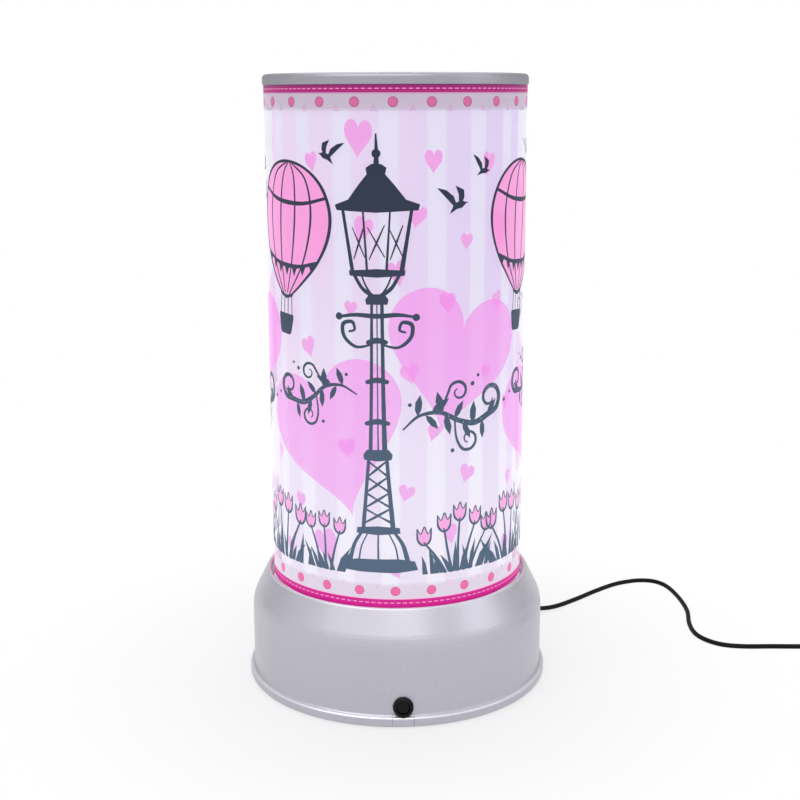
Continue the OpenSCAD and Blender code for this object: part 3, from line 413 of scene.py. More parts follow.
def return_spring(per_turn=24, sides=8):
    out = Vector((math.cos(SWITCH_AZ), math.sin(SWITCH_AZ), 0.0))
    side, up = Vector((-out.y, out.x, 0.0)), Vector((0.0, 0.0, 1.0))
    foot = SPRING_FOOT * out + SWITCH_Z * up
    verts = []
    rings = SPRING_TURNS * per_turn
    for i in range(rings + 1):
        a = 2 * math.pi * i / per_turn
        spoke = math.cos(a) * side + math.sin(a) * up
        for k in range(sides):
            b = 2 * math.pi * k / sides
            rise = wire_height(i / per_turn) + WIRE_R * math.sin(b)
            verts.append((foot + (SPRING_R + WIRE_R * math.cos(b)) * spoke + rise * out) * MM)
    faces = [tuple(range(sides)), tuple(rings * sides + k for k in reversed(range(sides)))]
    for i in range(rings):
        for k in range(sides):
            a, b = i * sides + k, i * sides + (k + 1) % sides
            faces.append((a, a + sides, b + sides, b))
    spring = make("return_spring", verts, faces, STEEL, "base")
    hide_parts("switch_spring")
    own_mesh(spring)


return_spring()


# ---------------------------------------------------------------- glow of the sleeve and the print
GLOW = 0.84                     # how much of a print's colour shines through; the rest is lit from outside
STRIPES, FIRST_STRIPE = 17, 7.7     # soft stripes round the sleeve, and the middle of the first, in degrees
NO_LIGHT = (0.0, 0.0, 0.0, 1.0)


def glow(name, top, bottom, alpha=1.0, rough=0.35, body=0.16, shine=0.5, tune=None):
    """A backlit print: its colour shines through, a little brighter towards the lamps at the foot."""
    s = Shader(name, top, rough, Alpha=alpha, Specular_IOR_Level=shine)
    x, y, z = s.xyz()
    color = s.mix(s.ramp(z, 0.24, 0.07), top, bottom)
    if tune:
        color = tune(s, x, y, z, color)
    s.set("Emission Color", color)
    s.set("Emission Strength", GLOW)
    s.set("Base Color", s.mix(1.0 - body, color, NO_LIGHT))
    return s.mat


def sleeve_material():
    s = Shader("milky_sleeve", srgb(225, 222, 242), 0.5)
    x, y, z = s.xyz()
    angle = s.math("MULTIPLY", s.round_angle(x, y), 180 / math.pi)
    wander = s.math("MULTIPLY_ADD", s.noise(14.0, 1.0), 1.6, -0.8)
    pitch = 360 / STRIPES
    turn = s.math("ADD", s.math("DIVIDE", s.math("ADD", angle, wander), pitch), 0.5 - FIRST_STRIPE / pitch)
    share = s.math("FRACT", s.math("ADD", turn, 20.0))
    stripe = s.ramp(s.math("ABSOLUTE", s.math("SUBTRACT", share, 0.5)), 0.325, 0.265)
    # the stripes lean from rose to lavender round the sleeve
    around = s.math("MULTIPLY_ADD", angle, math.pi / 180, math.radians(72))
    hue = s.math("MULTIPLY_ADD", s.math("COSINE", around), 0.5, 0.5)
    # painted light: the glow is paler and brighter towards the lamps at the foot
    low = s.ramp(z, 0.21, 0.075)
    tint = s.mix(hue, srgb(214, 193, 242), srgb(236, 208, 238))
    tint = s.mix(low, tint, srgb(236, 222, 246))
    ground = s.mix(low, srgb(229, 224, 244), srgb(246, 243, 254))
    color = s.mix(stripe, ground, tint)
    # a little unevenness of the light, and the shade under the cap
    cloud = s.math("MULTIPLY_ADD", s.noise(16.0, 2.0), 0.06, 0.97)
    shade = s.math("MULTIPLY_ADD", s.ramp(z, 0.268, 0.262), 0.12, 0.88)
    s.set("Emission Color", color)
    s.set("Emission Strength", s.math("MULTIPLY", s.math("MULTIPLY", cloud, shade), GLOW))
    s.set("Base Color", s.mix(0.84, color, NO_LIGHT))
    return s.mat


def film_tune(s, x, y, z, color):
    return s.mix(s.math("MULTIPLY", s.noise(20.0, 2.0), 0.3), color, srgb(232, 222, 240))


paint("motion_sleeve", sleeve_material())
paint("print_film", glow("milky_film", srgb(229, 224, 244), srgb(246, 243, 254), alpha=0.2, tune=film_tune))


# ---------------------------------------------------------------- drawing on a cylinder
def wrap(u, z, r):
    """A point on a cylinder of radius r. u is the length along the print from the front to the right."""
    a = u / FILM_R
    return (r * math.sin(a) * MM, -r * math.cos(a) * MM, z * MM)


WAVER = 0.132                   # how much the width of a brush stroke wavers


class Layer:
    """Flat shapes in (u, z), which are cut into narrow pieces and bent onto the print's cylinder."""

    def __init__(self):
        self.verts = []
        self.faces = []

    def polygon(self, loop):
        start = len(self.verts)
        self.verts += [(p[0], p[1]) for p in loop]
        self.faces.append(tuple(range(start, start + len(loop))))

    def cut(self):
        """The shapes in strips of the same width all round, so that every layer bends in the same way."""
        bm = bmesh.new()
        verts = [bm.verts.new((u, z, 0.0)) for u, z in self.verts]
        faces = [bm.faces.new([verts[i] for i in face]) for face in self.faces]
        bmesh.ops.triangulate(bm, faces=[f for f in faces if len(f.verts) > 4], ngon_method="EAR_CLIP")
        us = [u for u, z in self.verts]
        for k in range(math.ceil(min(us) / PIECE), math.floor(max(us) / PIECE) + 1):
            at = k * PIECE
            across = [e for e in bm.edges if (e.verts[0].co.x - at) * (e.verts[1].co.x - at) < 0]
            near = dict.fromkeys(f for e in across for f in e.link_faces)
            corners = dict.fromkeys(v for f in near for v in f.verts)
            edges = dict.fromkeys(e for f in near for e in f.edges)
            geom = [*corners, *edges, *near]
            bmesh.ops.bisect_plane(bm, geom=geom, plane_co=(at, 0, 0), plane_no=(1, 0, 0), dist=1e-6)
        bm.verts.index_update()
        verts = [(v.co.x, v.co.y) for v in bm.verts]
        faces = [tuple(v.index for v in f.verts) for f in bm.faces]
        bm.free()
        return verts, faces

    def stroke(self, points, widths, seed, steps=8):
        """A brush stroke through points, whose width changes along it, with round ends."""
        rng = random.Random(seed * 7919 + int(points[0][0] * 13) + int(points[-1][1] * 7))   # its own hand
        path = smooth_path([(p[0], p[1], 0.0) for p in points], steps)
        n = len(path)
        start = len(self.verts)
        tune = 0.0
        for i, p in enumerate(path):
            t = (path[min(i + 1, n - 1)] - path[max(i - 1, 0)]).normalized()
            f = i / (n - 1) * (len(widths) - 1)
            j = min(int(f), len(widths) - 2)
            w = widths[j] + (widths[j + 1] - widths[j]) * (f - j)
            tune = 0.7 * tune + 0.3 * rng.uniform(-1, 1)
            w *= 0.5 * (1 + WAVER * tune)
            self.verts += [(p.x - t.y * w, p.y + t.x * w), (p.x + t.y * w, p.y - t.x * w)]
        for a in range(start, start + 2 * (n - 1), 2):
            self.faces.append((a, a + 1, a + 3, a + 2))
        for end, w in ((path[0], widths[0]), (path[-1], widths[-1])):
            if w > 0.35:
                self.dot(end.x, end.y, w / 2 * 0.98, 10)

    def dot(self, u, z, r, sides):
        ring = [2 * math.pi * k / sides for k in range(sides)]
        self.polygon([(u + r * math.cos(a), z + r * math.sin(a)) for a in ring])

    def moved(self, du, dz, size, tilt, flip=False):
        """A copy, turned and scaled about (0, 0), then moved."""
        out = Layer()
        c, s = size * math.cos(math.radians(tilt)), size * math.sin(math.radians(tilt))
        side = -1.0 if flip else 1.0
        out.verts = [(du + side * (u * c - z * s), dz + u * s + z * c) for u, z in self.verts]
        out.faces = [tuple(reversed(f)) if flip else f for f in self.faces]
        return out

    def add(self, other):
        start = len(self.verts)
        self.verts += other.verts
        self.faces += [tuple(start + i for i in f) for f in other.faces]

    def build(self, name, mat, depth, body="base", slot="printed_film", radius=FILM_R):
        r = radius + PRINT_LIFT + depth * LAYER
        verts, faces = self.cut()
        make(name, [wrap(u, z, r) for u, z in verts], faces, mat, body)


# Depths of the print's layers, from the film outwards
BACK, BACK_OVER, TINT, LINES, TRIM, TRIM_OVER, SEAM = range(7)


def band(name, z_low, z_high, mat, depth, rows=1):
    """A plain strip all the way round."""
    sides = 240
    r = FILM_R + PRINT_LIFT + depth * LAYER
    verts, faces = [], []
    for j in range(rows + 1):
        z = z_low + (z_high - z_low) * j / rows
        verts += [wrap(ROUND * k / sides, z, r) for k in range(sides)]
    for j in range(rows):
        for k in range(sides):
            a, b = j * sides + k, j * sides + (k + 1) % sides
            faces.append((a, b, b + sides, a + sides))
    make(name, verts, faces, mat, "base")


def heart_loop(w, h, lean, steps):
    """A hand-drawn heart about its own middle: one lobe a little higher, and its point pulled aside."""
    pts = []
    for k in range(steps):
        t = 2 * math.pi * k / steps
        x = math.sin(t) ** 3
        y = (13 * math.cos(t) - 5 * math.cos(2 * t) - 2 * math.cos(3 * t) - math.cos(4 * t)) / 17.0
        x += lean * (0.35 - y) * 0.5
        y += lean * x * 0.35
        pts.append((x * w / 2, y * h / 1.78))
    return pts


# ---------------------------------------------------------------- colours of the print
def ribbed(s, x, y, z, color):
    """Woven ribbon: fine ribs across it, and painted shade that darkens the top ribbon towards the cap."""
    ribs = s.math("SINE", s.math("MULTIPLY", s.round_angle(x, y), 560.0))
    rows = s.math("SINE", s.math("MULTIPLY", z, 2 * math.pi / 0.0007))
    weave = s.math("MULTIPLY_ADD", s.math("MULTIPLY", ribs, rows), 0.06, 0.07)
    # painted shade: the top of the top ribbon darkens under the cap
    shade = s.math("MULTIPLY_ADD", s.ramp(z, 0.2732, 0.2752), 0.4, weave)
    return s.mix(shade, color, srgb(98, 10, 78))


RIBBON = glow("ribbon_print", srgb(172, 22, 120), srgb(218, 30, 146), shine=0.3, tune=ribbed)
RIBBON_EDGE = glow("ribbon_edge_print", srgb(108, 18, 88), srgb(160, 20, 105))
PALE_LINE = glow("pale_line_print", srgb(200, 136, 180), srgb(248, 190, 226), shine=0.3)
STITCH = glow("stitch_print", srgb(234, 142, 198), srgb(248, 160, 216))
DOTS = glow("dot_print", srgb(208, 96, 152), srgb(238, 104, 164))
DOT_RIM = glow("dot_rim_print", srgb(160, 66, 124), srgb(212, 76, 140))


def fading(s, x, y, z, color):
    """The scalloped bands fade out at their free edges."""
    edge = s.math("MAXIMUM", s.ramp(z, 0.2643, 0.2662), s.ramp(z, 0.0632, 0.0613))
    s.set("Alpha", s.math("MULTIPLY", edge, 0.86))
    return color


SCALLOP = glow("scallop_print", srgb(194, 178, 198), srgb(221, 208, 226), tune=fading)
NOTCH = glow("notch_print", srgb(208, 164, 206), srgb(228, 206, 232), alpha=0.6)
INK = glow("ink_print", srgb(42, 50, 70), srgb(82, 102, 124), rough=0.5, body=0.2, shine=0.2)
SPECKS = glow("speck_print", srgb(150, 155, 190), srgb(190, 200, 220))


def heart_tune(s, x, y, z, color):
    cloud = s.noise(18.0, 2.0)
    return s.mix(s.math("MULTIPLY", cloud, 0.5), color, srgb(250, 140, 230))


def small_heart_tune(s, x, y, z, color):
    return s.mix(s.math("MULTIPLY", s.noise(30.0, 2.0), 0.4), color, srgb(240, 132, 236))


BIG_HEART = glow("big_heart_print", srgb(242, 130, 234), srgb(241, 160, 243), alpha=0.64, tune=heart_tune)
SMALL_HEART = glow("small_heart_print", srgb(246, 84, 212), srgb(242, 112, 230), tune=small_heart_tune)
ROSE = glow("rose_print", srgb(246, 146, 208), srgb(246, 166, 224), alpha=0.85, tune=heart_tune)

# ribbons, with a darker edge and a pale line along them
TOP_RIBBON, LOW_RIBBON = (272.0, FILM_TOP), (51.4, 55.7)
band("top_ribbon", *TOP_RIBBON, RIBBON, LINES, 2)
band("top_ribbon_edge", 274.9, 275.35, RIBBON_EDGE, TRIM)
band("top_ribbon_line", 271.6, 272.05, PALE_LINE, TRIM)
band("low_ribbon", *LOW_RIBBON, RIBBON, LINES, 2)
band("low_ribbon_edge", 51.4, 51.9, RIBBON_EDGE, TRIM)
band("low_ribbon_line", 55.55, 55.95, PALE_LINE, TRIM)

STITCHES, STITCH_L, STITCH_H, STITCH_Z = 132, 1.74, 0.4, (273.6, 53.9)
stitches = Layer()
for k in range(STITCHES):
    for z in STITCH_Z:
        u = (k + 0.3) * ROUND / STITCHES
        left, right, low, high = u - STITCH_L / 2, u + STITCH_L / 2, z - STITCH_H / 2, z + STITCH_H / 2
        stitches.polygon([(left, low), (right, low), (right, high), (left, high)])
stitches.build("ribbon_stitches", STITCH, TRIM_OVER)

# dots, and scallops with small notches between them. For each end of the print: the height of the dots,
# of the scallops' free edge, of their edge under the ribbon and of the notches' tips, and the turn in degrees
DOT_COUNT, DOT_R, DOT_RIM_R = 23, 1.85, 2.15
ENDS = ((268.3, 264.2, 271.8, 267.6, -0.9), (59.3, 63.3, 55.8, 60.2, -0.5))
dots, dot_rims, scallops, notches = Layer(), Layer(), Layer(), Layer()
for k in range(DOT_COUNT):
    for dot_z, edge, hidden, notch, turned in ENDS:
        u = (k * 360 / DOT_COUNT + turned) * ROUND / 360
        dots.dot(u, dot_z, DOT_R, 30)
        dot_rims.dot(u, dot_z, DOT_RIM_R, 30)
        half = ROUND / DOT_COUNT / 2
        up = 1 if hidden > edge else -1
        bend, corner, foot = edge + 0.2 * up, edge + 0.9 * up, edge + 0.3 * up
        scallop = [(u - half, hidden), (u + half, hidden), (u + half, corner), (u + half * 0.8, bend),
                   (u, edge), (u - half * 0.8, bend), (u - half, corner)]
        scallops.polygon(scallop[::up])
        notches.polygon([(u + half * 0.8, foot), (u + half, notch), (u + half * 1.2, foot)][::-up])
dots.build("print_dots", DOTS, TRIM_OVER)
dot_rims.build("print_dot_rims", DOT_RIM, TRIM)
scallops.build("print_scallops", SCALLOP, BACK_OVER)
notches.build("print_notches", NOTCH, TINT)


# ---------------------------------------------------------------- the large motifs
hearts_low = Layer()
hearts_high = Layer()
ink = Layer()
rose = Layer()
specks = Layer()


def lamp_post(seed):
    """An old street lantern on a fluted post, about 184 mm tall, with its foot at (0, 0)."""
    g = Layer()
    g.polygon([(-17, 0), (-15.5, 4.2), (-9, 5.2), (9, 5.6), (16, 4.4), (17.5, 0.4), (8, -0.8), (-9, -0.6)])
    g.stroke([(-12.5, 5), (-10.5, 12), (-7.2, 17.5)], [2.0, 1.6, 1.3], seed=seed)
    g.stroke([(12.8, 5), (10.8, 12), (7.3, 17.5)], [2.2, 1.7, 1.3], seed=seed + 1)
    g.stroke([(-8.5, 5), (-7.4, 11), (-4.6, 17)], [0.8, 0.7, 0.6], seed=seed + 2)
    g.stroke([(8.7, 5), (7.6, 11), (4.8, 17)], [0.8, 0.7, 0.6], seed=seed + 3)
    g.stroke([(0.1, 5), (0, 11), (0.1, 17)], [0.9, 0.8, 0.7], seed=seed + 4)
    g.polygon([(-9.6, 17), (-9.2, 19.6), (0, 20.4), (9.4, 19.8), (9.8, 17.2), (0, 16.4)])
    g.stroke([(-6.4, 20), (-5.2, 34), (-3.9, 50)], [1.8, 1.6, 1.4], seed=seed + 5)
    g.stroke([(6.5, 20), (5.3, 34), (4.0, 50)], [2.1, 1.8, 1.5], seed=seed + 6)
    for i in range(4):
        z0, z1 = 21.5 + i * 7.0, 28.5 + i * 7.0
        a0, a1 = 6.2 - i * 0.62, 5.6 - i * 0.62
        g.stroke([(-a0, z0), (a1, z1)], [0.7, 1.3, 0.7], steps=10, seed=seed + 10 + i)
        g.stroke([(a0, z0 + 0.4), (-a1, z1 - 0.4)], [1.2, 0.7, 1.0], steps=10, seed=seed + 20 + i)
    g.polygon([(-5.9, 50), (-6.3, 52.2), (-4.6, 54.4), (4.8, 54.6), (6.5, 52.4), (6.0, 50.1), (0, 49.4)])
    g.stroke([(-3.0, 54), (-2.5, 80), (-2.1, 118)], [1.7, 1.4, 1.2], steps=16, seed=seed + 7)
    g.stroke([(3.1, 54), (2.6, 80), (2.2, 118)], [2.2, 1.7, 1.4], steps=16, seed=seed + 8)
    g.stroke([(0.3, 54), (0.15, 80), (0.1, 118)], [0.7, 0.5, 0.5], steps=16, seed=seed + 9)
    for i, z in enumerate((66.0, 84.0, 101.0)):
        a = 4.6 - i * 0.4
        g.stroke([(-a, z), (0, z + 0.9), (a, z + 0.2)], [1.9, 2.6, 1.9], seed=seed + 30 + i)
    # cross bar with scrolls
    g.polygon([(-4.4, 117), (-4.9, 119), (-3.2, 121.4), (3.4, 121.6), (5.0, 119.2), (4.5, 117.1)])
    bar = [(-16, 111.6), (-9, 112.6), (0, 112.2), (9, 112.8), (16.5, 111.8)]
    g.stroke(bar, [1.2, 1.7, 2.1, 1.7, 1.1], seed=seed + 31)
    scroll = [(2.5, 100), (9, 99), (14.2, 103), (14.8, 108.4), (10.8, 109.6), (9.6, 106.4), (12, 105.4)]
    arm = [(2.2, 121), (6.2, 124), (9.6, 129.5)]
    for side in (-1, 1):
        g.stroke([(side * u, z) for u, z in scroll], [0.9, 1.5, 1.8, 1.3, 0.9], seed=seed + 33 + side)
        g.stroke([(side * u, z) for u, z in arm], [1.9, 1.6, 1.4], seed=seed + 36 + side)
        g.dot(side * 16.6, 111.7, 1.6, 14)
    g.stroke([(-2.0, 121), (-4.6, 125), (-6.4, 129.5)], [0.9, 0.8, 0.7], seed=seed + 39)
    g.stroke([(2.0, 121), (4.6, 125), (6.4, 129.5)], [0.9, 0.8, 0.7], seed=seed + 40)
    # lantern
    g.polygon([(-11.6, 129), (-11.9, 131.2), (0, 132.0), (12.1, 131.4), (11.8, 129.2), (0, 128.4)])
    g.stroke([(-10.3, 131), (-12.4, 144), (-14.4, 156.5)], [1.7, 1.4, 1.4], seed=seed + 41)
    g.stroke([(10.5, 131), (12.7, 144), (14.7, 156.5)], [2.0, 1.6, 1.4], seed=seed + 42)
    g.stroke([(-4.0, 131), (-4.8, 144), (-5.6, 156.5)], [1.1, 0.9, 0.8], seed=seed + 43)
    g.stroke([(4.2, 131), (5.0, 144), (5.8, 156.5)], [1.1, 0.9, 0.8], seed=seed + 44)
    for k, (u0, u1) in enumerate(((-9.6, -5.0), (-3.0, 3.4), (5.8, 11.0))):
        g.stroke([(u0, 136), (u1, 150)], [0.5, 0.9, 0.5], steps=8, seed=seed + 45 + k)
        g.stroke([(u1, 137), (u0 - 0.6, 149)], [0.5, 0.7, 0.4], steps=8, seed=seed + 48 + k)
    g.polygon([(-17.2, 156), (-18.0, 158.2), (-12.0, 160.4), (-7.2, 166.8), (-3.6, 171.2), (3.4, 171.4),
               (7.6, 166.6), (12.4, 160.6), (18.2, 158.6), (17.6, 156.2), (0, 155.2)])
    g.polygon([(-3.9, 171), (-4.3, 173.4), (-2.0, 175.0), (2.2, 175.0), (4.4, 173.5), (3.9, 171.1)])
    g.stroke([(0.1, 174), (0.2, 180), (0.0, 187)], [2.6, 1.7, 0.7], seed=seed + 52)
    g.dot(0.1, 179.2, 1.9, 16)
    return g


def balloon(seed):
    """A hot-air balloon, 56 mm wide and 87 mm tall, over its basket's foot, and the tint of its envelope."""
    g, fill = Layer(), Layer()
    outline = [(-4.5, 20), (-12, 27), (-21.5, 38), (-27.5, 51), (-28, 64), (-22.5, 76), (-12.5, 83.6),
               (0, 86), (12.6, 83.4), (22.7, 75.8), (28.2, 63.6), (27.6, 50.6), (21.6, 37.6), (12.2, 26.8),
               (4.7, 20)]
    fill.polygon([(p.x, p.y) for p in smooth_path([(a, b, 0) for a, b in outline], 4)])
    g.stroke(outline, [1.0, 1.8, 1.3, 1.9, 1.1], steps=6, seed=seed)
    side = [(5, 20.5), (21.5, 38), (28.2, 60), (21, 78), (2, 86)]
    for k, share in enumerate((-0.62, -0.24, 0.2, 0.6)):
        g.stroke([(u * share, z) for u, z in side], [0.8, 1.3, 0.8], steps=8, seed=seed + k + 1)
    for k, (z, half, sag) in enumerate(((38.5, 21.6, 4.0), (70.5, 25.2, 4.6))):
        near, low = half * 0.5, z - sag * 0.8
        belt = [(-half, z), (-near, low), (0, z - sag), (near, low), (half, z)]
        g.stroke(belt, [1.5, 2.3, 1.5], steps=6, seed=seed + 7 + k)
    for k in range(7):
        u = -18.5 + k * 6.2
        z = 34.6 + 0.0095 * u * u
        g.polygon([(u - 2.4, z), (u + 2.4, z), (u + 0.1, z - 5.4)])
    g.stroke([(-5, 20), (0, 18.6), (5.2, 20)], [1.5, 2.0, 1.5], seed=seed + 10)
    for k, (a, b) in enumerate(((-4.6, -5.2), (-1.4, -1.8), (1.7, 1.9), (4.8, 5.4))):
        g.stroke([(a, 19), (b, 9.4)], [0.7, 0.6], seed=seed + 11 + k)
    g.polygon([(-6.2, 9.8), (6.4, 9.9), (6.8, 8.2), (5.2, 0.6), (4.0, -0.6), (-3.8, -0.7), (-5.1, 0.6),
               (-6.6, 8.1)])
    return g, fill


def spiral(u, z, r, start, turn):
    """Points that run in along a spiral about (u, z); angles in degrees."""
    steps = 9
    out = []
    for i in range(steps + 1):
        a = math.radians(start + turn * i / steps)
        size = r * (1 - 0.72 * i / steps)
        out.append((u + size * math.cos(a), z + size * math.sin(a)))
    return out


def flourish(seed):
    """A trailing branch with leaves and curls, about 60 mm long, from (0, 0) to the right."""
    g = Layer()
    stem = [(0, 0), (9, 5.6), (20, 5.0), (29, -1.0), (38, -4.6)] + spiral(50, 5.5, 8.6, -105, 430)
    g.stroke(stem, [0.9, 2.0, 2.9, 3.3, 2.8, 2.3, 1.9, 1.5, 1.0], steps=6, seed=seed)
    # leaves: where each starts on the stem, the way it points in degrees, and its length
    leaves = [(8, 5.4, 74, 11), (15, 5.6, 28, 12), (21, 4.2, 96, 12), (27, 0.4, 52, 10), (12, 5.4, -58, 10),
              (22, 3.6, -84, 11), (31, -2.6, -70, 10), (37, -5.0, 78, 12), (43, -4.4, -96, 10),
              (47, -3.0, 40, 10)]
    for u, z, a, size in leaves:
        c, s = math.cos(math.radians(a)), math.sin(math.radians(a))
        shape = [(0, 0), (0.28, 0.17), (0.62, 0.19), (1.0, 0.02), (0.64, -0.13), (0.3, -0.13)]
        g.polygon([(u + size * (x * c - y * s), z + size * (x * s + y * c)) for x, y in shape])
    curls = ([(18, 5.2), (22.5, 10)] + spiral(31, 13.5, 6.0, 175, -420),
             [(27, 0.6), (26.5, -7)] + spiral(33.5, -12, 6.4, 180, 420))
    for k, curl in enumerate(curls):
        g.stroke(curl, [1.0, 1.4, 1.7, 1.4, 1.0, 0.7], steps=5, seed=seed + 1 + k)
    berries = ((39.6, 15.6, 1.2), (43.6, 19.0, 0.9), (23.6, -15.6, 1.1), (5, 11.8, 1.0), (61.6, 0.6, 1.0))
    for u, z, r in berries:
        g.dot(u, z, r, 14)
    rng = random.Random(seed)
    glitter = Layer()
    path = smooth_path([(a, b, 0) for a, b in stem], 12)
    for _ in range(46):
        f = rng.uniform(0.12, 0.72)
        p = path[int(f * (len(path) - 1))]
        glitter.dot(p.x + rng.uniform(-0.9, 0.9), p.y + rng.uniform(-0.9, 0.9), rng.uniform(0.12, 0.26), 6)
    return g, glitter


def tulips(seed, count):
    """A clump of tulips and grass, about 34 mm wide, with its foot at (0, 0)."""
    g, petals = Layer(), Layer()
    rng = random.Random(seed)
    for k in range(count):
        u0 = (k - (count - 1) / 2) * 5.4
        u1 = u0 * 1.5 + rng.uniform(-1.5, 1.5)
        h = 25 - abs(k - (count - 1) / 2) * 4.6 + rng.uniform(-2, 2)
        g.stroke([(u0 * 0.6, 0), (u0, h * 0.5), (u1, h)], [1.6, 1.2, 0.9], seed=seed + k)
        flower = [(u1 - 3.3, h + 6.6), (u1 - 1.5, h + 4.2), (u1 + 0.1, h + 7.6), (u1 + 1.7, h + 4.3),
                  (u1 + 3.4, h + 6.8), (u1 + 3.0, h + 1.6), (u1 + 1.2, h - 0.9), (u1 - 1.1, h - 0.9),
                  (u1 - 3.0, h + 1.6)]
        petals.polygon(flower)
        g.stroke(flower[:5], [0.6, 0.5, 0.7, 0.5, 0.6], steps=5, seed=seed + 20 + k)
        g.stroke(flower[4:] + flower[:1], [0.6, 1.1, 0.9, 1.1, 0.6], steps=5, seed=seed + 30 + k)
    for k in range(2 * count + 2):
        u0 = (k - count - 0.5) * 2.9 + rng.uniform(-0.6, 0.6)
        h = rng.uniform(7, 15)
        lean = rng.uniform(-5, 5) + u0 * 0.35
        g.polygon([(u0 - 1.3, -0.4), (u0 + 1.3, -0.4), (u0 + 1.0 + lean * 0.45, h * 0.55), (u0 + lean, h),
                   (u0 - 0.9 + lean * 0.3, h * 0.5)])
    return g, petals


def bird():
    """A flying bird, 14 mm from its tail to its beak: body, far wing and near wing."""
    g = Layer()
    g.polygon([(-1.4, 0.2), (0.4, 1.5), (2.9, 1.9), (4.6, 1.0), (6.2, 0.7), (4.7, 0.2), (2.6, -1.2),
               (0.2, -1.3), (-3.4, -2.8), (-2.2, -1.0)])
    g.polygon([(0.2, 0.9), (-0.6, 4.2), (-3.6, 7.2), (-7.6, 8.8), (-4.4, 5.8), (-2.6, 2.6), (-1.2, 0.2)])
    g.polygon([(1.4, 1.1), (1.8, 4.6), (0.8, 8.4), (4.6, 6.0), (4.4, 3.0), (3.0, 0.9)])
    return g


def big_heart(layer, u, z, w, h, tilt, lean):
    """A large plain heart with its middle at (u, z)."""
    shape = Layer()
    shape.polygon(heart_loop(w, h, lean, 90))
    layer.add(shape.moved(u, z, 1.0, tilt))


REPEATS = 3                     # times that the drawing repeats round the tube
SPAN = ROUND / REPEATS
# where the motifs lie in each repeat: seed, place in u and z, size, tilt in degrees, and mirrored or not
BRANCHES = ((200, 3, 132, 0.86, 8.0, False), (220, -17, 147, 0.74, -6.0, True))
BIRDS = ((26, 226, 1.0, 8, False), (39, 240, 0.75, -6, False), (-29, 246, 0.85, 12, True))
# clumps of tulips: seed, flowers, place in u and z, and size
CLUMPS = ((400, 5, 28, 67, 0.95), (420, 3, -33, 67, 0.86), (440, 4, 61, 66.5, 1.05))

for k in range(REPEATS):
    at = k * SPAN
    big_heart(hearts_low, at - 31, 130, 72, 70, 14, 0.10)
    big_heart(hearts_high, at + 28, 164, 66, 64, -11, -0.08)
    ink.add(lamp_post(100 + k).moved(at - 8, 68.5, 1.0, 0.0, k % 2 == 1))
    for seed, u, z, size, tilt, flip in BRANCHES:
        branch, glitter = flourish(seed + k)
        ink.add(branch.moved(at + u, z, size, tilt, flip))
        specks.add(glitter.moved(at + u, z, size, tilt, flip))
    tinted = [(balloon(300 + k), 66, 170, 0.86, -4.0)]
    tinted += [(tulips(seed + k, count), u, z, size, 0.0) for seed, count, u, z, size in CLUMPS]
    for (drawing, fill), u, z, size, tilt in tinted:
        ink.add(drawing.moved(at + u, z, size, tilt))
        rose.add(fill.moved(at + u, z, size, tilt))
    for u, z, size, tilt, flip in BIRDS:
        ink.add(bird().moved(at + u, z, size, tilt, flip))

hearts_low.build("print_low_hearts", BIG_HEART, BACK)
hearts_high.build("print_high_hearts", BIG_HEART, BACK_OVER)
rose.build("print_petals", ROSE, TINT)
ink.build("print_ink", INK, LINES)
specks.build("print_glitter", SPECKS, TRIM)

# small hearts on the sleeve, spread by chance but never close together
HEART_COUNT, HEART_GAP, MOST_TRIES = 58, 23.0, 6000
small = Layer()
rng = random.Random(139)
placed = []
tries = 0
while len(placed) < HEART_COUNT and tries < MOST_TRIES:
    tries += 1
    u, z = rng.uniform(0, ROUND), rng.uniform(68, 256)
    gaps = [math.hypot(min(abs(u - a), ROUND - abs(u - a)), z - b) for a, b in placed]
    if gaps and min(gaps) < HEART_GAP:
        continue
    placed.append((u, z))
    big = rng.random() < 0.16
    w = rng.uniform(11.5, 14.5) if big else rng.uniform(6.2, 9.0)
    shape = Layer()
    shape.polygon(heart_loop(w, w * rng.uniform(1.05, 1.4), rng.uniform(-0.32, 0.32), 40))
    small.add(shape.moved(u, z, 1.0, rng.uniform(-22, 22)))
small.build("sleeve_hearts", SMALL_HEART, BACK_OVER, "drum", "glow_sleeve", SLEEVE_R)

# the overlaps where the film and the sleeve are joined, at the back and on one side
FILM_LAP = glow("film_lap", srgb(226, 218, 238), srgb(240, 236, 250), alpha=0.14)
SLEEVE_LAP = glow("sleeve_lap", srgb(206, 192, 222), srgb(230, 220, 240), alpha=0.45)
LAP_EDGE = glow("lap_edge", srgb(176, 164, 192), srgb(196, 186, 208), alpha=0.7)


def lap(name, u, half, low, high, mats, depth, body, slot, radius):
    """A joint's overlap as a strip from low to high, with the free edge as a fine line on it."""
    strip, edge = Layer(), Layer()
    strip.polygon([(u - half, low), (u + half, low), (u + half, high), (u - half, high)])
    edge.polygon([(u + half - 0.25, low), (u + half, low), (u + half, high), (u + half - 0.25, high)])
    strip.build(name, mats[0], depth, body, slot, radius)
    edge.build(name + "_edge", mats[1], depth + 1, body, slot, radius)


lap("film_overlap", ROUND / 2 + 3, 4.0, FILM_LOW, FILM_TOP, (FILM_LAP, LAP_EDGE),
    SEAM, "base", "printed_film", FILM_R)
lap("sleeve_overlap", 118.0, 3.5, 55.0, SLEEVE_TOP - 0.2, (SLEEVE_LAP, LAP_EDGE),
    TINT, "drum", "glow_sleeve", SLEEVE_R)


# ---------------------------------------------------------------- stage and light
def stage_mesh(name, verts, faces, mat):
    mesh = bpy.data.meshes.new(name)
    mesh.from_pydata(verts, [], faces)
    mesh.materials.append(mat)
    obj = bpy.data.objects.new(name, mesh)
    bpy.context.scene.collection.objects.link(obj)


def seen_white(shader):
    """1 for the rays that show the background: straight, in a reflection or through glass."""
    rays = shader.add("LightPath").outputs
    seen = shader.math("MAXIMUM", rays["Is Camera Ray"], rays["Is Glossy Ray"])
    return shader.math("MAXIMUM", seen, rays["Is Transmission Ray"])


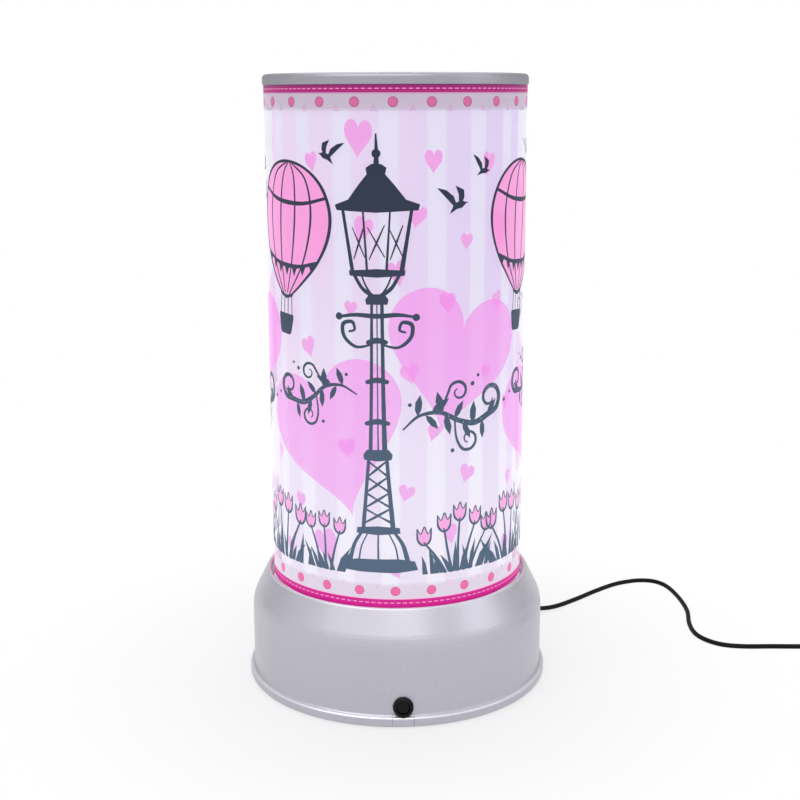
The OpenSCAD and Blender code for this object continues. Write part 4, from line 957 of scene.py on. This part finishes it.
WHITE_LIGHT = (1.0, 1.0, 1.0, 1.0)
SHADOW_FROM, SHADOW_TO = 0.07, 0.20     # from the lamp's axis: the floor's shadow is left out past the second
NEAR_WHITE = 0.68                       # how far the floor is plain white at the lamp's foot

floor = Shader("floor", (0.80, 0.80, 0.81, 1.0), 0.7)
white = floor.add("Emission", Color=WHITE_LIGHT, Strength=1.0)
floor_x, floor_y, _ = floor.xyz()
away = floor.ramp(floor.from_axis(floor_x, floor_y), SHADOW_FROM, SHADOW_TO)
share = floor.math("MULTIPLY_ADD", away, 1.0 - NEAR_WHITE, NEAR_WHITE)
blend = floor.add("MixShader", i0=floor.math("MULTIPLY", seen_white(floor), share))
floor.links.new(floor.bsdf.outputs[0], blend.inputs[1])
floor.links.new(white.outputs[0], blend.inputs[2])
floor.links.new(blend.outputs[0], floor.nodes["Material Output"].inputs["Surface"])
stage_mesh("floor", [(-4, -3, 0), (4, -3, 0), (4, 6, 0), (-4, 6, 0)], [(0, 1, 2, 3)], floor.mat)


def make_world():
    """White where it is seen, a studio that darkens to the back in reflections, a cool light elsewhere."""
    world = bpy.data.worlds.new("world")
    bpy.context.scene.world = world
    world.use_nodes = True
    nodes, links = world.node_tree.nodes, world.node_tree.links

    def background(color):
        node = nodes.new("ShaderNodeBackground")
        node.inputs["Color"].default_value = color
        return node

    def choose(factor, low, high):
        node = nodes.new("ShaderNodeMixShader")
        for socket, value in zip(node.inputs, (factor, low, high)):
            links.new(value, socket)
        return node.outputs[0]

    soft = nodes["Background"]
    soft.inputs["Color"].default_value = (0.93, 0.94, 1.0, 1.0)
    soft.inputs["Strength"].default_value = 0.55
    bright = background(WHITE_LIGHT)
    studio = background(WHITE_LIGHT)
    way = nodes.new("ShaderNodeSeparateXYZ")
    links.new(nodes.new("ShaderNodeTexCoord").outputs["Generated"], way.inputs[0])
    to_back = nodes.new("ShaderNodeMapRange")
    for socket, value in (("From Min", -0.1), ("From Max", 0.8), ("To Min", 1.0), ("To Max", 0.45)):
        to_back.inputs[socket].default_value = value
    links.new(way.outputs["Y"], to_back.inputs["Value"])
    links.new(to_back.outputs[0], studio.inputs["Strength"])
    rays = nodes.new("ShaderNodeLightPath").outputs
    seen = nodes.new("ShaderNodeMath")
    seen.operation = "MAXIMUM"
    links.new(rays["Is Camera Ray"], seen.inputs[0])
    links.new(rays["Is Transmission Ray"], seen.inputs[1])
    mirrored = choose(rays["Is Glossy Ray"], soft.outputs[0], studio.outputs[0])
    surface = choose(seen.outputs[0], mirrored, bright.outputs[0])
    links.new(surface, nodes["World Output"].inputs["Surface"])


make_world()


def area_light(name, location, target, size, power, color=(1, 1, 1)):
    data = bpy.data.lights.new(name, "AREA")
    data.shape = "RECTANGLE"
    data.size, data.size_y = size
    data.energy = power
    data.color = color
    obj = bpy.data.objects.new(name, data)
    obj.location = location
    obj.rotation_euler = (Vector(target) - Vector(location)).to_track_quat("-Z", "Y").to_euler()
    bpy.context.scene.collection.objects.link(obj)


area_light("key", (-0.35, -0.95, 1.25), (0, 0, 0.06), (2.2, 0.8), 12)
area_light("fill", (1.5, -0.5, 0.8), (0, 0, 0.08), (0.9, 0.9), 2.6, (0.93, 0.96, 1.0))
area_light("top", (0.0, 0.7, 1.5), (0, 0, 0.1), (1.6, 0.8), 8)
